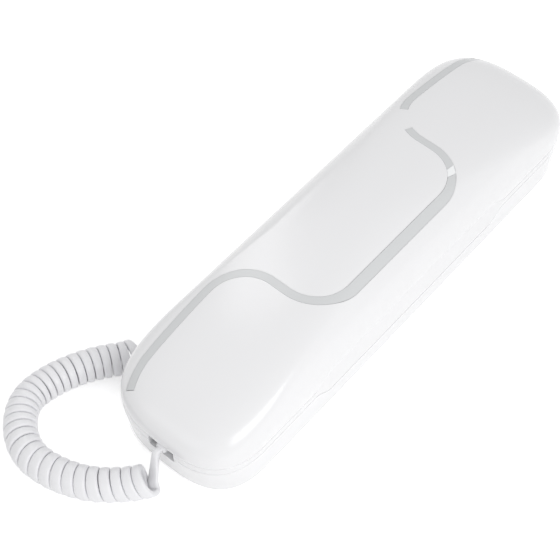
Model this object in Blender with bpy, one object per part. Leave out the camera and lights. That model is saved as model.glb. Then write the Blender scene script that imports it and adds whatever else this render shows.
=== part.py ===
"""Slimline wall phone, lying on its back: base, lift-off handset and curly handset cord.

Metres, +Z up. The origin is on the resting surface, under the middle of the phone.
+Y points to the ear end and +X to the side away from the cord sockets.
"""

import math

import bmesh
import bpy
from mathutils import Matrix, Vector

# ---- clearances -------------------------------------------------------------
GAP = 0.0003  # between pieces that touch
HALF_GAP = GAP / 2
CUT = 0.002  # how far a cutter runs past the face that it opens
MERGE = 0.000001  # points closer than this are one
SIDES = 20  # of a round piece
HOLE_SIDES = 16
FINE_SIDES = 24
SMALL_SIDES = 12
SHARP_ANGLE = math.radians(40)  # edges steeper than this stay sharp
HALVINGS = 30  # steps of the search for a height on the crown
SLOPE_STEP = 0.0004  # step over which the crown's slope is taken
CORNERS = ((-1, -1), (1, -1), (1, 1), (-1, 1))  # signs of a rectangle's corners, in order

# ---- outline of the phone, seen from above ----------------------------------
PHONE_LENGTH = 0.2100
PHONE_WIDTH = 0.0565
HALF_LENGTH = PHONE_LENGTH / 2
HALF_WIDTH = PHONE_WIDTH / 2
END_LENGTH = 0.0254  # length of the rounded end
END_POWER = 2.87  # 2 is an ellipse, higher is squarer
END_STEPS = 8  # points in a quarter of the outline's end
END_SHARE = 0.98  # the rounded end's largest share of a half length

# ---- walls ------------------------------------------------------------------
WALL = 0.0020
FLOOR = 0.0020
COVER_THICKNESS = 0.0020
BASE_FOOT_INSET_X = 0.0004  # how far the base draws in towards its back
BASE_FOOT_INSET_Y = 0.0017

# ---- heights, from the resting surface up -----------------------------------
FOOT_PROUD = 0.0006
BOARD_THICKNESS = 0.0012
JACK_HEIGHT = 0.0076
JACK_HEADROOM = 0.00045  # between a socket and the floor over it
BASE_INSIDE_Z = FOOT_PROUD + COVER_THICKNESS
BOARD_TOP_Z = BASE_INSIDE_Z + GAP + BOARD_THICKNESS
JACK_LOW_Z = BOARD_TOP_Z + GAP
BASE_SEAM_Z = JACK_LOW_Z + JACK_HEIGHT + JACK_HEADROOM + FLOOR + HALF_GAP  # base to handset, at both ends
RIM_HEIGHT = 0.0036
SHELL_SEAM_Z = BASE_SEAM_Z + RIM_HEIGHT  # between the handset's two shells, at both ends
CROWN_HEIGHT = 0.0249  # from that seam to the top
CROWN_SIDE_POWER = 2.83  # roundness of the crown across the phone
CROWN_ARCH_POWER = 1.5  # roundness of the crown along the phone
CROWN_SHARES = (0.0, 0.12, 0.26, 0.40, 0.53, 0.64, 0.74, 0.85, 0.92, 0.968, 0.993)

# ---- finger grip on both long sides -----------------------------------------
GRIP_FROM_END = 0.0500  # from the phone's end to the end of the grip
GRIP_RAMP = 0.0080  # length of the ramp at each end of it
GRIP_END = HALF_LENGTH - GRIP_FROM_END
GRIP_FLAT = GRIP_END - GRIP_RAMP  # half length of the grip's straight stretch
GRIP_DROP = 0.0049  # how far the lower seam dips there
GRIP_RISE = 0.0044  # how far the upper seam climbs there
GRIP_DEPTH = 0.0012  # at its upper edge
GRIP_LOW_DEPTH = 0.0002  # at its lower edge
GRIP_STATIONS = (0.0, 0.25, 0.5, 0.75, 1.0)  # shares of the ramp with points
GRIP_STRAIGHT_SHARE = 0.97  # the grip's largest share of a straight side
CRADLE_MIDDLE_FLOOR = 0.0032  # thicker, because the key recess is cut into it

# ---- sockets and the plugs of the handset cord ------------------------------
PLUG_WIDTH = 0.0076
PLUG_HEIGHT = 0.0050
PLUG_LENGTH = 0.0112
PLUG_TAIL = 0.0040
PLUG_NOSE = 0.0010
TAIL_TAPER = 0.0013  # how much narrower the tail is than the plug, on each side
PLUG_CLEARANCE = 0.0004
JACK_WALL = 0.0005
JACK_BACK_WALL = 0.0015
JACK_FACE_INSET = 0.0006
JACK_INNER_X = HALF_WIDTH - JACK_FACE_INSET - PLUG_LENGTH - JACK_BACK_WALL
LINE_JACK_WIDTH = 0.0130
LINE_JACK_SIDE = 0.0015
LINE_JACK_OVERLAP = 0.0009  # how far the line socket reaches into the grip's ramp
LINE_JACK_Y = GRIP_END + LINE_JACK_WIDTH / 2 - LINE_JACK_OVERLAP
CORD_JACK_SIDE = 0.0011
CORD_JACK_CAVITY = PLUG_WIDTH + 2 * PLUG_CLEARANCE
CORD_JACK_WIDTH = CORD_JACK_CAVITY + 2 * CORD_JACK_SIDE
CORD_JACK_PAST_GRIP = 0.0047
CORD_JACK_Y = -GRIP_END - CORD_JACK_PAST_GRIP - CORD_JACK_WIDTH / 2

# ---- ear cup and mouth cup --------------------------------------------------
CUP_DRAFT = 0.0020  # how much a cup narrows towards its face
CUP_POWER = 2.1
CUP_STEPS = 32
CUP_FLOOR = 0.0018
CUP_CLEARANCE = 0.0006
WELL_WALL = 0.0018
WELL_GROW = CUP_CLEARANCE + WELL_WALL
EAR_FROM_END = 0.0250  # from the phone's end to the middle of the ear cup
EAR_Y = HALF_LENGTH - EAR_FROM_END
EAR_RADIUS = 0.0165
EAR_DEPTH = 0.0057
EAR_HOLE = 0.0010
EAR_HOLE_CIRCLE = 0.0048
EAR_HOLES = 6
MOUTH_FROM_END = 0.0218
MOUTH_Y = -HALF_LENGTH + MOUTH_FROM_END
MOUTH_SIDE_CLEARANCE = 0.00055  # between the mouth well and the sockets beside it
MOUTH_HALF_WIDTH = JACK_INNER_X - MOUTH_SIDE_CLEARANCE - WELL_GROW
MOUTH_HALF_LENGTH = 0.0173
MOUTH_DEPTH = 0.0042
MOUTH_CORNER = 0.0100
MOUTH_HOLE = 0.0008
MOUTH_HOLES = 3
MOUTH_HOLE_PITCH = 0.0040

# ---- keys -------------------------------------------------------------------
KEY_COLUMNS = 3
KEY_SIDE_MARGIN = 0.00905  # from the phone's side to the outer keys
KEY_GAP = 0.0036  # between neighbouring keys
KEY_SPREAD = 2 * (HALF_WIDTH - KEY_SIDE_MARGIN)
KEY_PITCH_X = (KEY_SPREAD + KEY_GAP) / KEY_COLUMNS
KEY_PITCH_Y = 0.0120
KEY_TOP_ROW_Y = 0.0280
KEY_HALF_WIDTH = (KEY_PITCH_X - KEY_GAP) / 2
KEY_HALF_HEIGHT = 0.0037
KEY_CORNER_POWER = 3.2
KEY_STEPS = 12
KEY_PROUD = 0.0008
KEY_TRAVEL = 0.0008
KEY_FLANGE = 0.0009
KEY_FLANGE_MARGIN = 0.0008
KEY_CROWN = ((0.55, 0.0), (0.91, 0.00015), (1.0, 0.00048))  # share of the key's size, height over its face
FUNCTION_ROW_DROP = 0.0140  # from the last digit row to the function keys
FUNCTION_HALF_HEIGHT = 0.0026
KEY_RECESS_DEPTH = 0.0014
KEY_RECESS_MARGIN = 0.0030
KEY_NAMES = (
    ("key_1", "key_2", "key_3"),
    ("key_4", "key_5", "key_6"),
    ("key_7", "key_8", "key_9"),
    ("key_star", "key_0", "key_hash"),
)
FUNCTION_NAMES = ("key_flash", "key_mute", "key_redial")
FUNCTION_ROW_Y = KEY_TOP_ROW_Y - (len(KEY_NAMES) - 1) * KEY_PITCH_Y - FUNCTION_ROW_DROP

# ---- screws -----------------------------------------------------------------
SCREW_SHANK = 0.0013
SCREW_BORE = SCREW_SHANK + GAP
SCREW_POINT = 0.35  # the tip's share of the shank's radius
SCREW_HEAD = 0.0026
SCREW_HEAD_HEIGHT = 0.0011
SCREW_SLOT_HALF_LENGTH = 0.0016
SCREW_SLOT_HALF_WIDTH = 0.00035
SCREW_SLOT_DEPTH = 0.0006
BASE_SCREW_LENGTH = 0.0080
BASE_SCREW_TIP_Z = FOOT_PROUD + BASE_SCREW_LENGTH
BASE_POST_RADIUS = 0.0031
BASE_SCREW_FROM_SIDE = 0.00875
BASE_SCREW_FROM_END = 0.0135
BASE_SCREW_X = HALF_WIDTH - BASE_SCREW_FROM_SIDE
BASE_SCREW_Y = HALF_LENGTH - BASE_SCREW_FROM_END
HANDSET_SCREW_LENGTH = 0.0080
HANDSET_POST_RADIUS = 0.0033
EAR_SCREW_CLEARANCE = 0.0045  # from the ear cup to its screw
MOUTH_SCREW_CLEARANCE = 0.0049
HANDSET_SCREW_EAR_Y = EAR_Y - EAR_RADIUS - EAR_SCREW_CLEARANCE
HANDSET_SCREW_MOUTH_Y = MOUTH_Y + MOUTH_HALF_LENGTH + MOUTH_SCREW_CLEARANCE

# ---- rear cover, feet and keyholes ------------------------------------------
FOOT_FROM_SIDE = 0.01125
FOOT_FROM_END = 0.0410
FOOT_X = HALF_WIDTH - FOOT_FROM_SIDE
FOOT_Y = HALF_LENGTH - FOOT_FROM_END
FOOT_RADIUS = 0.0045
FOOT_SEAT = 0.0009
FOOT_CHAMFER = 0.00045
KEYHOLE_Y = 0.0415  # hanging points, 83 mm apart as on a wall plate
KEYHOLE_ENTRY = 0.0042
KEYHOLE_SLOT = 0.0022
KEYHOLE_DROP = 0.0070
RINGER_FROM_END = 0.0220
RINGER_Y = HALF_LENGTH - RINGER_FROM_END
RINGER_RADIUS = 0.0090
RINGER_THICKNESS = 0.0010
RINGER_VENTS = 3
RINGER_VENT_PITCH = 0.0035
RINGER_VENT_HALF_WIDTH = 0.0006
RINGER_VENT_HALF_LENGTH = 0.0050

# ---- hook: plunger, spring and switch ---------------------------------------
PLUNGER_FROM_SIDE = 0.01025
PLUNGER_PAST_GRIP = 0.0090
PLUNGER_X = HALF_WIDTH - PLUNGER_FROM_SIDE
PLUNGER_Y = GRIP_END + PLUNGER_PAST_GRIP
PLUNGER_RADIUS = 0.0022
PLUNGER_FLANGE = 0.0038
PLUNGER_FLANGE_HEIGHT = 0.0010
PLUNGER_CHAMFER = 0.0006
HOOK_TRAVEL = 0.0030
SPRING_RADIUS = 0.0026
SPRING_WIRE = 0.00035
SPRING_TURNS = 4
SPRING_STEPS = 8  # points in a turn
HOOK_SWITCH_WIDTH = 0.0060
HOOK_SWITCH_LENGTH = 0.0050
HOOK_SWITCH_HEIGHT = 0.0035
HOOK_SWITCH_SIDE_GAP = 0.0007  # from the switch to the plunger's flange
HOOK_SWITCH_BACK = 0.0035  # from the plunger's middle back to the switch's middle

# ---- what else the base holds -----------------------------------------------
BASE_BOARD_CLEARANCE = 0.00275  # from the side wall to the board
BASE_BOARD_BEFORE = 0.0120  # how far the board reaches towards the mouth end from the plunger
BASE_BOARD_AFTER = 0.0085  # and towards the ear end
BASE_BOARD_HALF_X = HALF_WIDTH - WALL - BASE_BOARD_CLEARANCE
BASE_BOARD_LOW_Y = PLUNGER_Y - BASE_BOARD_BEFORE
BASE_BOARD_HIGH_Y = PLUNGER_Y + BASE_BOARD_AFTER
BALLAST_HALF_X = 0.0200
BALLAST_HALF_Y = 0.0250
BALLAST_THICKNESS = 0.0022
KNOB_Y = -0.0330
KNOB_RISE = 0.0019  # of the knob's middle over the rear cover
KNOB_Z = BASE_INSIDE_Z + KNOB_RISE
KNOB_HALF_LENGTH = 0.0030
KNOB_HALF_HEIGHT = 0.0015
KNOB_STEM_HALF_LENGTH = 0.0012
KNOB_STEM_HALF_HEIGHT = 0.0008
KNOB_KEEPER = 0.0012
KNOB_THROW = 0.0040
KNOB_POCKET = 0.0009

# ---- what the handset holds -------------------------------------------------
HANDSET_BOARD_THICKNESS = 0.0015
HANDSET_BOARD_SIDE_CLEARANCE = 0.00405
HANDSET_BOARD_END_CLEARANCE = 0.0057
HANDSET_BOARD_HALF_X = HALF_WIDTH - GRIP_DEPTH - WALL - HANDSET_BOARD_SIDE_CLEARANCE
HANDSET_BOARD_HALF_Y = HANDSET_SCREW_EAR_Y - HANDSET_POST_RADIUS - HANDSET_BOARD_END_CLEARANCE
MAT_THICKNESS = 0.0010
MAT_MARGIN = 0.0020
RECEIVER_CLEARANCE = 0.0005  # between the receiver and the ear cup
RECEIVER_RADIUS = EAR_RADIUS - WALL - CUP_DRAFT - RECEIVER_CLEARANCE
RECEIVER_RIM_HEIGHT = 0.0039
RECEIVER_SHOULDER = 0.0005
RECEIVER_HEIGHT = 0.0070
RECEIVER_MAGNET_RADIUS = 0.0086
GASKET_HEIGHT = 0.0012
GASKET_WIDTH = 0.0030
MIC_RADIUS = 0.0048
MIC_HEIGHT = 0.0052
MIC_PAST_MIDDLE = 0.0057  # from the mouth cup's middle
MIC_Y = MOUTH_Y + MIC_PAST_MIDDLE
BOOT_WALL = 0.0012
BOOT_HEIGHT = 0.0042
WEIGHT_HALF_X = 0.0090
WEIGHT_HALF_Y = 0.0240
WEIGHT_HEIGHT = 0.0060
LAMP_POST = 0.0150
LAMP_FOOT_CHAMFER = 0.0010
LAMP_SINK = 0.0001
LED_RADIUS = 0.0015
LED_RIM_HEIGHT = 0.0012
LED_HEIGHT = 0.0020

# ---- handset socket and the notch that its plug shows in --------------------
NOTCH_X = 0.0015
NOTCH_WIDTH = 0.0112
NOTCH_DEPTH = 0.0024  # below the seam between base and handset
NOTCH_FLOOR_Z = BASE_SEAM_Z - NOTCH_DEPTH
NOTCH_REACH = 0.0075  # how far the notch runs into the mouth cup
HANDSET_JACK_WALL = 0.0006
HANDSET_JACK_ROOF = 0.00135
HANDSET_JACK_SET_BACK = 0.0036  # from the end of the phone to the socket's open end

# ---- ribbon in the front shell ----------------------------------------------
RIBBON_FROM_RIGHT = 0.00905
RIBBON_FROM_LEFT = 0.00875
RIBBON_FROM_END = 0.0055
RIBBON_CROSS_FROM_END = 0.0635  # from the phone's end to where the ribbon crosses it
RIBBON_RIGHT_X = HALF_WIDTH - RIBBON_FROM_RIGHT
RIBBON_LEFT_X = -HALF_WIDTH + RIBBON_FROM_LEFT
RIBBON_CROSS_Y = HALF_LENGTH - RIBBON_CROSS_FROM_END
RIBBON_BEND = 0.0162  # radius of the bends
RIBBON_END_Y = HALF_LENGTH - RIBBON_FROM_END
RIBBON_END_PULL = 0.0024  # how far the last stretch draws in
RIBBON_END_RUN = 0.0120  # length of that stretch
RIBBON_WIDTH = 0.0034  # on the right side
RIBBON_NARROW = 0.0028  # past the first bends
RIBBON_THICKNESS = 0.0007
RIBBON_GROOVE = 0.0011
RIBBON_CLEARANCE = 0.0002  # beside the ribbon in its groove
# The ribbon's route has four legs on each side of its middle: a straight, two bends and the run to the end.
RIBBON_LEGS = 4
RIBBON_LEG_STEPS = (2, 6, 6, 6)  # points along each
LAMP_LEG = 1.51  # where the lamp's window sits
LAMP_HALF_LEG = 0.07
LAMP_SLANT_LEG = 0.04  # how far ahead the outer ends of its short sides are
BREAK_START_LEG = 2.27  # the ribbon stops here and goes on past the break
BREAK_END_LEG = 2.70
RIBBON_END_GAP_LEG = 0.016  # at the end of a piece of ribbon
LAMP_HOLE = RIBBON_NARROW / 2  # radius through the shell
LAMP_RADIUS = LAMP_HOLE - GAP

# ---- curly cord -------------------------------------------------------------
COIL_DIAMETER = 0.0122
COIL_LIFT = 0.0002  # of the curls off the resting surface
COIL_ROUTE_STEP = 0.0005
ROUTE_STEPS = 24  # points between two points of a route
BAND_THICKNESS = 0.0023
BAND_LEAST_THICKNESS = 0.0015
BAND_WIDTH = 0.0044
BAND_GAP = 0.00048
BAND_SECTION = ((0.5, 0.0), (0.34, 0.5), (-0.34, 0.5), (-0.5, 0.0), (-0.34, -0.5), (0.34, -0.5))
POINTS_PER_CURL = 9
COIL_TURNS = 31.3
COIL_START_ANGLE = math.radians(-75)  # where the first curl begins, from its side round to its top
COIL_LEAN = math.radians(9)  # how far the curls lean back from upright
COIL_PITCHES = ((0.044, 0.0042), (0.058, 0.0031), (0.076, 0.0031), (0.086, 0.0035))  # distance along, pitch
COIL_ROUTE = (  # x, y and lift of the coil's middle, from the mouth end round to the left side
    (0.0030, -0.1129, 0.0026),
    (0.0004, -0.1158, 0.0011),
    (-0.0023, -0.1187, 0.0003),
    (-0.0062, -0.1223, 0.0),
    (-0.0114, -0.1261, 0.0),
    (-0.0170, -0.1292, 0.0),
    (-0.0227, -0.1315, 0.0),
    (-0.0284, -0.1327, 0.0),
    (-0.0336, -0.1328, 0.0),
    (-0.0390, -0.1314, 0.0),
    (-0.0438, -0.1286, 0.0),
    (-0.0478, -0.1246, 0.0),
    (-0.0504, -0.1202, 0.0),
    (-0.0514, -0.1154, 0.0),
    (-0.0508, -0.1096, 0.0),
    (-0.0489, -0.1028, 0.0),
    (-0.0460, -0.0959, 0.0),
    (-0.0424, -0.0899, 0.0),
    (-0.0389, -0.0841, 0.0),
    (-0.0366, -0.0790, 0.0),
    (-0.0358, -0.0735, 0.0),
    (-0.0357, -0.0690, 0.0),
)
LEAD_WIDTH = 0.0030
LEAD_THICKNESS = 0.0023
LEAD_STRAIGHT = 0.0023  # straight run at each end of a lead
LEAD_STEP = 0.0022
HANDSET_LEAD_MIDDLE = 0.45  # share of the way from plug to coil
HANDSET_LEAD_BOW = Vector((0.0, -0.0022, 0.0010))
HANDSET_LEAD_TURN = 0.0042
HANDSET_LEAD_RISE = Vector((0.0, 0.0, 0.0016))
BASE_LEAD_BOW = Vector((-0.0052, -0.0010, 0.0010))
BASE_LEAD_TURN = 0.0044
BASE_LEAD_SIDE = Vector((0.0010, 0.0016, 0.0))

# ---- colours: red, green, blue, roughness, metallic -------------------------
WHITE_GLOSS = (0.86, 0.86, 0.87, 0.22, 0.0)
WHITE_SATIN = (0.84, 0.84, 0.85, 0.38, 0.0)
SILVER_GREY = (0.66, 0.67, 0.68, 0.25, 0.2)
LAMP_CLEAR = (0.93, 0.94, 0.95, 0.15, 0.0)
CORD_WHITE = (0.85, 0.85, 0.87, 0.45, 0.0)
KEY_GREY = (0.74, 0.75, 0.77, 0.5, 0.0)
RUBBER_GREY = (0.24, 0.24, 0.25, 0.8, 0.0)
BOARD_GREEN = (0.05, 0.24, 0.12, 0.5, 0.0)
STEEL = (0.62, 0.62, 0.64, 0.35, 1.0)
DARK_PLASTIC = (0.08, 0.08, 0.09, 0.5, 0.0)
BRASS = (0.75, 0.60, 0.30, 0.3, 1.0)


# =============================================================================
# general helpers
# =============================================================================
def clear_scene():
    """Empty the file."""
    for obj in list(bpy.data.objects):
        bpy.data.objects.remove(obj, do_unlink=True)


def material(name, look):
    """A Principled material from red, green, blue, roughness and metallic."""
    made = bpy.data.materials.get(name) or bpy.data.materials.new(name)
    made.use_nodes = True
    shader = made.node_tree.nodes["Principled BSDF"]
    shader.inputs["Base Color"].default_value = (*look[:3], 1.0)
    shader.inputs["Roughness"].default_value = look[3]
    shader.inputs["Metallic"].default_value = look[4]
    made.diffuse_color = (*look[:3], 1.0)
    return made


def new_object(name, bm, look, origin=(0.0, 0.0, 0.0)):
    """Turn a bmesh in world coordinates into an object whose origin is at the given point."""
    bmesh.ops.recalc_face_normals(bm, faces=bm.faces)
    bmesh.ops.translate(bm, verts=bm.verts, vec=-Vector(origin))
    mesh = bpy.data.meshes.new(name)
    bm.to_mesh(mesh)
    bm.free()
    mesh.shade_smooth()
    mesh.set_sharp_from_angle(angle=SHARP_ANGLE)
    obj = bpy.data.objects.new(name, mesh)
    obj.location = origin
    obj.data.materials.append(material(name, look))
    bpy.context.scene.collection.objects.link(obj)
    return obj


def cutter(name, bm):
    """An object that only shapes others."""
    obj = new_object(name, bm, DARK_PLASTIC)
    obj.hide_render = True
    obj.display_type = "WIRE"
    return obj


def boolean(target, other, operation="DIFFERENCE"):
    """Leave a Boolean on the target."""
    modifier = target.modifiers.new(other.name, "BOOLEAN")
    modifier.operation = operation
    modifier.solver = "EXACT"
    modifier.object = other


def skin(bm, rings):
    """Add faces through rings of equal length and give back the rows of vertices."""
    rows = [[bm.verts.new(point) for point in ring] for ring in rings]
    for lower, upper in zip(rows, rows[1:]):
        for i in range(len(lower)):
            j = (i + 1) % len(lower)
            bm.faces.new((lower[i], lower[j], upper[j], upper[i]))
    return rows


def lofted(rings):
    """A bmesh body through rings, with each end filled by one face."""
    bm = bmesh.new()
    rows = skin(bm, rings)
    bm.faces.new(list(reversed(rows[0])))
    bm.faces.new(rows[-1])
    return bm


def tray(rings):
    """A bmesh body through rings that are mirrored about X = 0, with strips across its ends."""
    bm = bmesh.new()
    rows = skin(bm, rings)
    mirrored_lid(bm, rows[0])
    mirrored_lid(bm, rows[-1])
    return bm


def mirrored_lid(bm, row):
    """Fill a ring of points that is mirrored about X = 0 with strips that run straight across."""
    half = len(row) // 2
    for i in range(half - 1):
        bm.faces.new((row[i], row[i + 1], row[-2 - i], row[-1 - i]))


def box(low, high):
    """A bmesh block between two corners."""
    bm = bmesh.new()
    size = Vector(high) - Vector(low)
    centre = (Vector(high) + Vector(low)) / 2
    bmesh.ops.create_cube(bm, size=1.0, matrix=Matrix.Translation(centre) @ Matrix.Diagonal((*size, 1.0)))
    return bm


def circle(centre, radius, z, sides):
    """Points of a circle about Z."""
    turn = [2 * math.pi * i / sides for i in range(sides)]
    return [(centre[0] + radius * math.cos(a), centre[1] + radius * math.sin(a), z) for a in turn]


def turned(centre, stations, sides=SIDES):
    """A bmesh body turned about Z through (radius, z) stations, from low to high."""
    return lofted([circle(centre, radius, z, sides) for radius, z in stations])


def pipe(centre, inner, outer, low, high, sides=SIDES):
    """A bmesh ring with a bore, about Z."""
    stations = ((inner, low), (outer, low), (outer, high), (inner, high), (inner, low))
    bm = bmesh.new()
    skin(bm, [circle(centre, radius, z, sides) for radius, z in stations])
    bmesh.ops.remove_doubles(bm, verts=bm.verts, dist=MERGE)
    return bm


def rounded(centre, half_width, half_length, power, steps):
    """Points of an oval that is squarer as the power is higher."""
    points = []
    for i in range(steps):
        angle = 2 * math.pi * (i + 0.5) / steps
        across = math.copysign(abs(math.cos(angle)) ** (2 / power), math.cos(angle))
        along = math.copysign(abs(math.sin(angle)) ** (2 / power), math.sin(angle))
        points.append((centre[0] + across * half_width, centre[1] + along * half_length))
    return points


# =============================================================================
# outline, seams and crown
# =============================================================================
def outline(half_width, half_length):
    """Points round the phone's outline, mirrored about both axes, with points at the grip's stations."""
    end = min(END_LENGTH, half_length * END_SHARE)
    straight = half_length - end
    quarter = []
    for y in side_stations(straight):
        quarter.append((half_width, y))
    for i in range(END_STEPS + 1):
        angle = math.pi / 2 * i / (END_STEPS + 0.5)
        across = half_width * math.cos(angle) ** (2 / END_POWER)
        along = end * math.sin(angle) ** (2 / END_POWER)
        quarter.append((across, straight + along))
    right = [(x, -y) for x, y in reversed(quarter)] + quarter
    left = [(-x, y) for x, y in reversed(right)]
    return right + left


def side_stations(straight):
    """Where the long side has points: within the grip, along its ramp and where the ramp ends."""
    scale = min(1.0, GRIP_STRAIGHT_SHARE * straight / GRIP_END)
    stations = [GRIP_FLAT / 2]
    stations += [GRIP_FLAT + GRIP_RAMP * share for share in GRIP_STATIONS]
    return [y * scale for y in stations]


def ramp(y):
    """1 within the grip's straight stretch, 0 past its ramps, smooth between."""
    share = max(0.0, min(1.0, (GRIP_END - abs(y)) / GRIP_RAMP))
    return eased(share)


def eased(share):
    """0 to 1 with a smooth start and finish."""
    return share * share * (3 - 2 * share)


def base_seam(y):
    """Height of the seam between base and handset."""
    return BASE_SEAM_Z - GRIP_DROP * ramp(y)


def shell_seam(y):
    """Height of the seam between the handset's shells."""
    return SHELL_SEAM_Z + GRIP_RISE * ramp(y)


def crown_size(share, wall):
    """Half width, half length and height of the crown's ring at a share of its height."""
    left = max(1.0 - share**CROWN_SIDE_POWER, 0.0)
    half_width = (HALF_WIDTH - wall) * left ** (1 / CROWN_SIDE_POWER)
    half_length = (HALF_LENGTH - wall) * left ** (1 / CROWN_ARCH_POWER)
    return half_width, half_length, SHELL_SEAM_Z + (CROWN_HEIGHT - wall) * share


def crown_share(x, y):
    """The share of the crown's height at which its skin passes over (x, y)."""
    low, high = 0.0, 1.0
    for _ in range(HALVINGS):
        share = (low + high) / 2
        half_width, half_length, _ = crown_size(share, 0.0)
        end = min(END_LENGTH, half_length * END_SHARE)
        past = max(0.0, abs(y) - (half_length - end)) / max(end, MERGE)
        across = abs(x) / max(half_width, MERGE)
        if across**END_POWER + past**END_POWER <= 1.0:
            low = share
        else:
            high = share
    return low


def crown_z(x, y):
    """Height of the front shell's skin over (x, y)."""
    return SHELL_SEAM_Z + CROWN_HEIGHT * crown_share(x, y)


def crown_point(x, y):
    """A point of the front shell's skin and its outward direction."""
    step = SLOPE_STEP
    slope_x = (crown_z(x + step, y) - crown_z(x - step, y)) / (2 * step)
    slope_y = (crown_z(x, y + step) - crown_z(x, y - step)) / (2 * step)
    return Vector((x, y, crown_z(x, y))), Vector((-slope_x, -slope_y, 1.0)).normalized()


def crown_rings(wall, shares):
    """Rings of the crown from its lower edge up, the first following the seam."""
    rings = []
    height = CROWN_HEIGHT - wall
    seats = outline(HALF_WIDTH - wall, HALF_LENGTH - wall)
    first = [(shell_seam(y) + HALF_GAP - SHELL_SEAM_Z) / height for _, y in seats]
    for share in shares:
        ring = []
        for i, start in enumerate(first):
            here = start + (1 - start) * share
            half_width, half_length, z = crown_size(here, wall)
            x, y = outline(half_width, half_length)[i]
            ring.append((x, y, z))
        rings.append(ring)
    return rings


def wall_ring(inset, height, depth=GRIP_DEPTH):
    """A ring of the outline with the grip drawn in, at the height that a function of y gives."""
    ring = []
    for x, y in outline(HALF_WIDTH - inset, HALF_LENGTH - inset):
        side = math.copysign(depth * ramp(y), x)
        ring.append((x - side, y, height(y)))
    return ring


# =============================================================================
# base
# =============================================================================
def base_ring(inset, height):
    """A ring of the base's wall, which draws in towards its back."""
    ring = []
    for x, y in outline(HALF_WIDTH - inset, HALF_LENGTH - inset):
        z = height(y)
        share = (BASE_SEAM_Z - z) / (BASE_SEAM_Z - FOOT_PROUD)
        narrow = 1 - BASE_FOOT_INSET_X * share / (HALF_WIDTH)
        short = 1 - BASE_FOOT_INSET_Y * share / (HALF_LENGTH)
        ring.append((x * narrow, y * short, z))
    return ring


def cradle_top(y):
    """Upper face of the base."""
    return base_seam(y) - HALF_GAP


def cradle_underside(y):
    """Lower face of the base's floor."""
    floor = FLOOR + (CRADLE_MIDDLE_FLOOR - FLOOR) * ramp(y)
    return cradle_top(y) - floor


def ear_ring(grow, z):
    """A ring of the ear cup."""
    radius = EAR_RADIUS + grow
    return [(x, y, z) for x, y in rounded((0.0, EAR_Y), radius, radius, CUP_POWER, CUP_STEPS)]


def mouth_ring(grow, z):
    """A ring of the mouth cup, which has straight sides between rounded ends."""
    straight = MOUTH_HALF_LENGTH - MOUTH_CORNER
    corner = MOUTH_CORNER + grow
    ring = rounded((0.0, 0.0), MOUTH_HALF_WIDTH + grow, corner, CUP_POWER, CUP_STEPS)
    return [(x, MOUTH_Y + y + math.copysign(straight, y), z) for x, y in ring]


def cup_faces():
    """The z of the ear cup's and the mouth cup's faces."""
    plate = BASE_SEAM_Z + HALF_GAP
    return plate - EAR_DEPTH, plate - MOUTH_DEPTH


def cup_list():
    """Name, ring function and face of each cup."""
    ear_face, mouth_face = cup_faces()
    return (("ear", ear_ring, ear_face), ("mouth", mouth_ring, mouth_face))


def cup_solid(ring, grow, face, top):
    """A cup's tapering body from its face up to top."""
    drop = BASE_SEAM_Z + HALF_GAP - face
    draft = CUP_DRAFT * (top - face) / drop
    return lofted([ring(grow - CUP_DRAFT, face), ring(grow - CUP_DRAFT + draft, top)])


def cradle_cover():
    """Upper half of the base: side wall, floor that the handset lies on, wells and screw posts."""
    rings = [
        base_ring(WALL, cradle_underside),
        base_ring(WALL, lambda y: FOOT_PROUD),
        base_ring(0.0, lambda y: FOOT_PROUD),
        base_ring(0.0, cradle_top),
    ]
    cover = new_object("cradle_cover", tray(rings), WHITE_GLOSS)
    well_walls(cover)
    base_posts(cover)
    wells(cover)
    cradle_openings(cover)


def well_walls(cover):
    """Add the walls round the two wells."""
    join = cradle_underside(EAR_Y) + FLOOR / 2
    for name, ring, face in cup_list():
        wall = cup_solid(ring, WELL_GROW, face - WELL_GROW, join)
        boolean(cover, cutter(f"{name}_well_wall", wall), "UNION")


def base_posts(cover):
    """Add the posts that the base screws hold."""
    join = cradle_underside(EAR_Y) + FLOOR / 2
    for i, place in enumerate(base_screw_places()):
        post = turned(place, ((BASE_POST_RADIUS, BASE_INSIDE_Z + GAP), (BASE_POST_RADIUS, join)), HOLE_SIDES)
        boolean(cover, cutter(f"base_post_{i + 1}", post), "UNION")
        stations = ((SCREW_BORE, FOOT_PROUD - CUT), (SCREW_BORE, BASE_SCREW_TIP_Z + GAP))
        boolean(cover, cutter(f"base_post_bore_{i + 1}", turned(place, stations, HOLE_SIDES)))


def wells(cover):
    """Cut the hollows that the ear cup and the mouth cup lie in."""
    for name, ring, face in cup_list():
        hollow = cup_solid(ring, CUP_CLEARANCE, face - CUP_CLEARANCE, BASE_SEAM_Z + CUT)
        boolean(cover, cutter(f"{name}_well", hollow))


def cradle_openings(cover):
    """Cut the key recess, the notch, and the holes for the sockets, the plunger and the ringer knob."""
    above = BASE_SEAM_Z + CUT
    half = NOTCH_WIDTH / 2
    notch_low = (NOTCH_X - half, -HALF_LENGTH - CUT, NOTCH_FLOOR_Z)
    notch_high = (NOTCH_X + half, MOUTH_Y - MOUTH_HALF_LENGTH + CUT, above)
    boolean(cover, cutter("key_recess", key_recess()))
    boolean(cover, cutter("base_notch", box(notch_low, notch_high)))
    boolean(cover, cutter("line_jack_hole", jack_hole(LINE_JACK_Y, LINE_JACK_WIDTH)))
    boolean(cover, cutter("cord_jack_hole", jack_hole(CORD_JACK_Y, CORD_JACK_WIDTH)))
    boolean(cover, cutter("plunger_hole", plunger_hole(cradle_underside(PLUNGER_Y) - CUT, above)))
    boolean(cover, cutter("knob_slot", knob_slot()))
    boolean(cover, cutter("knob_pocket", knob_pocket()))


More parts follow.
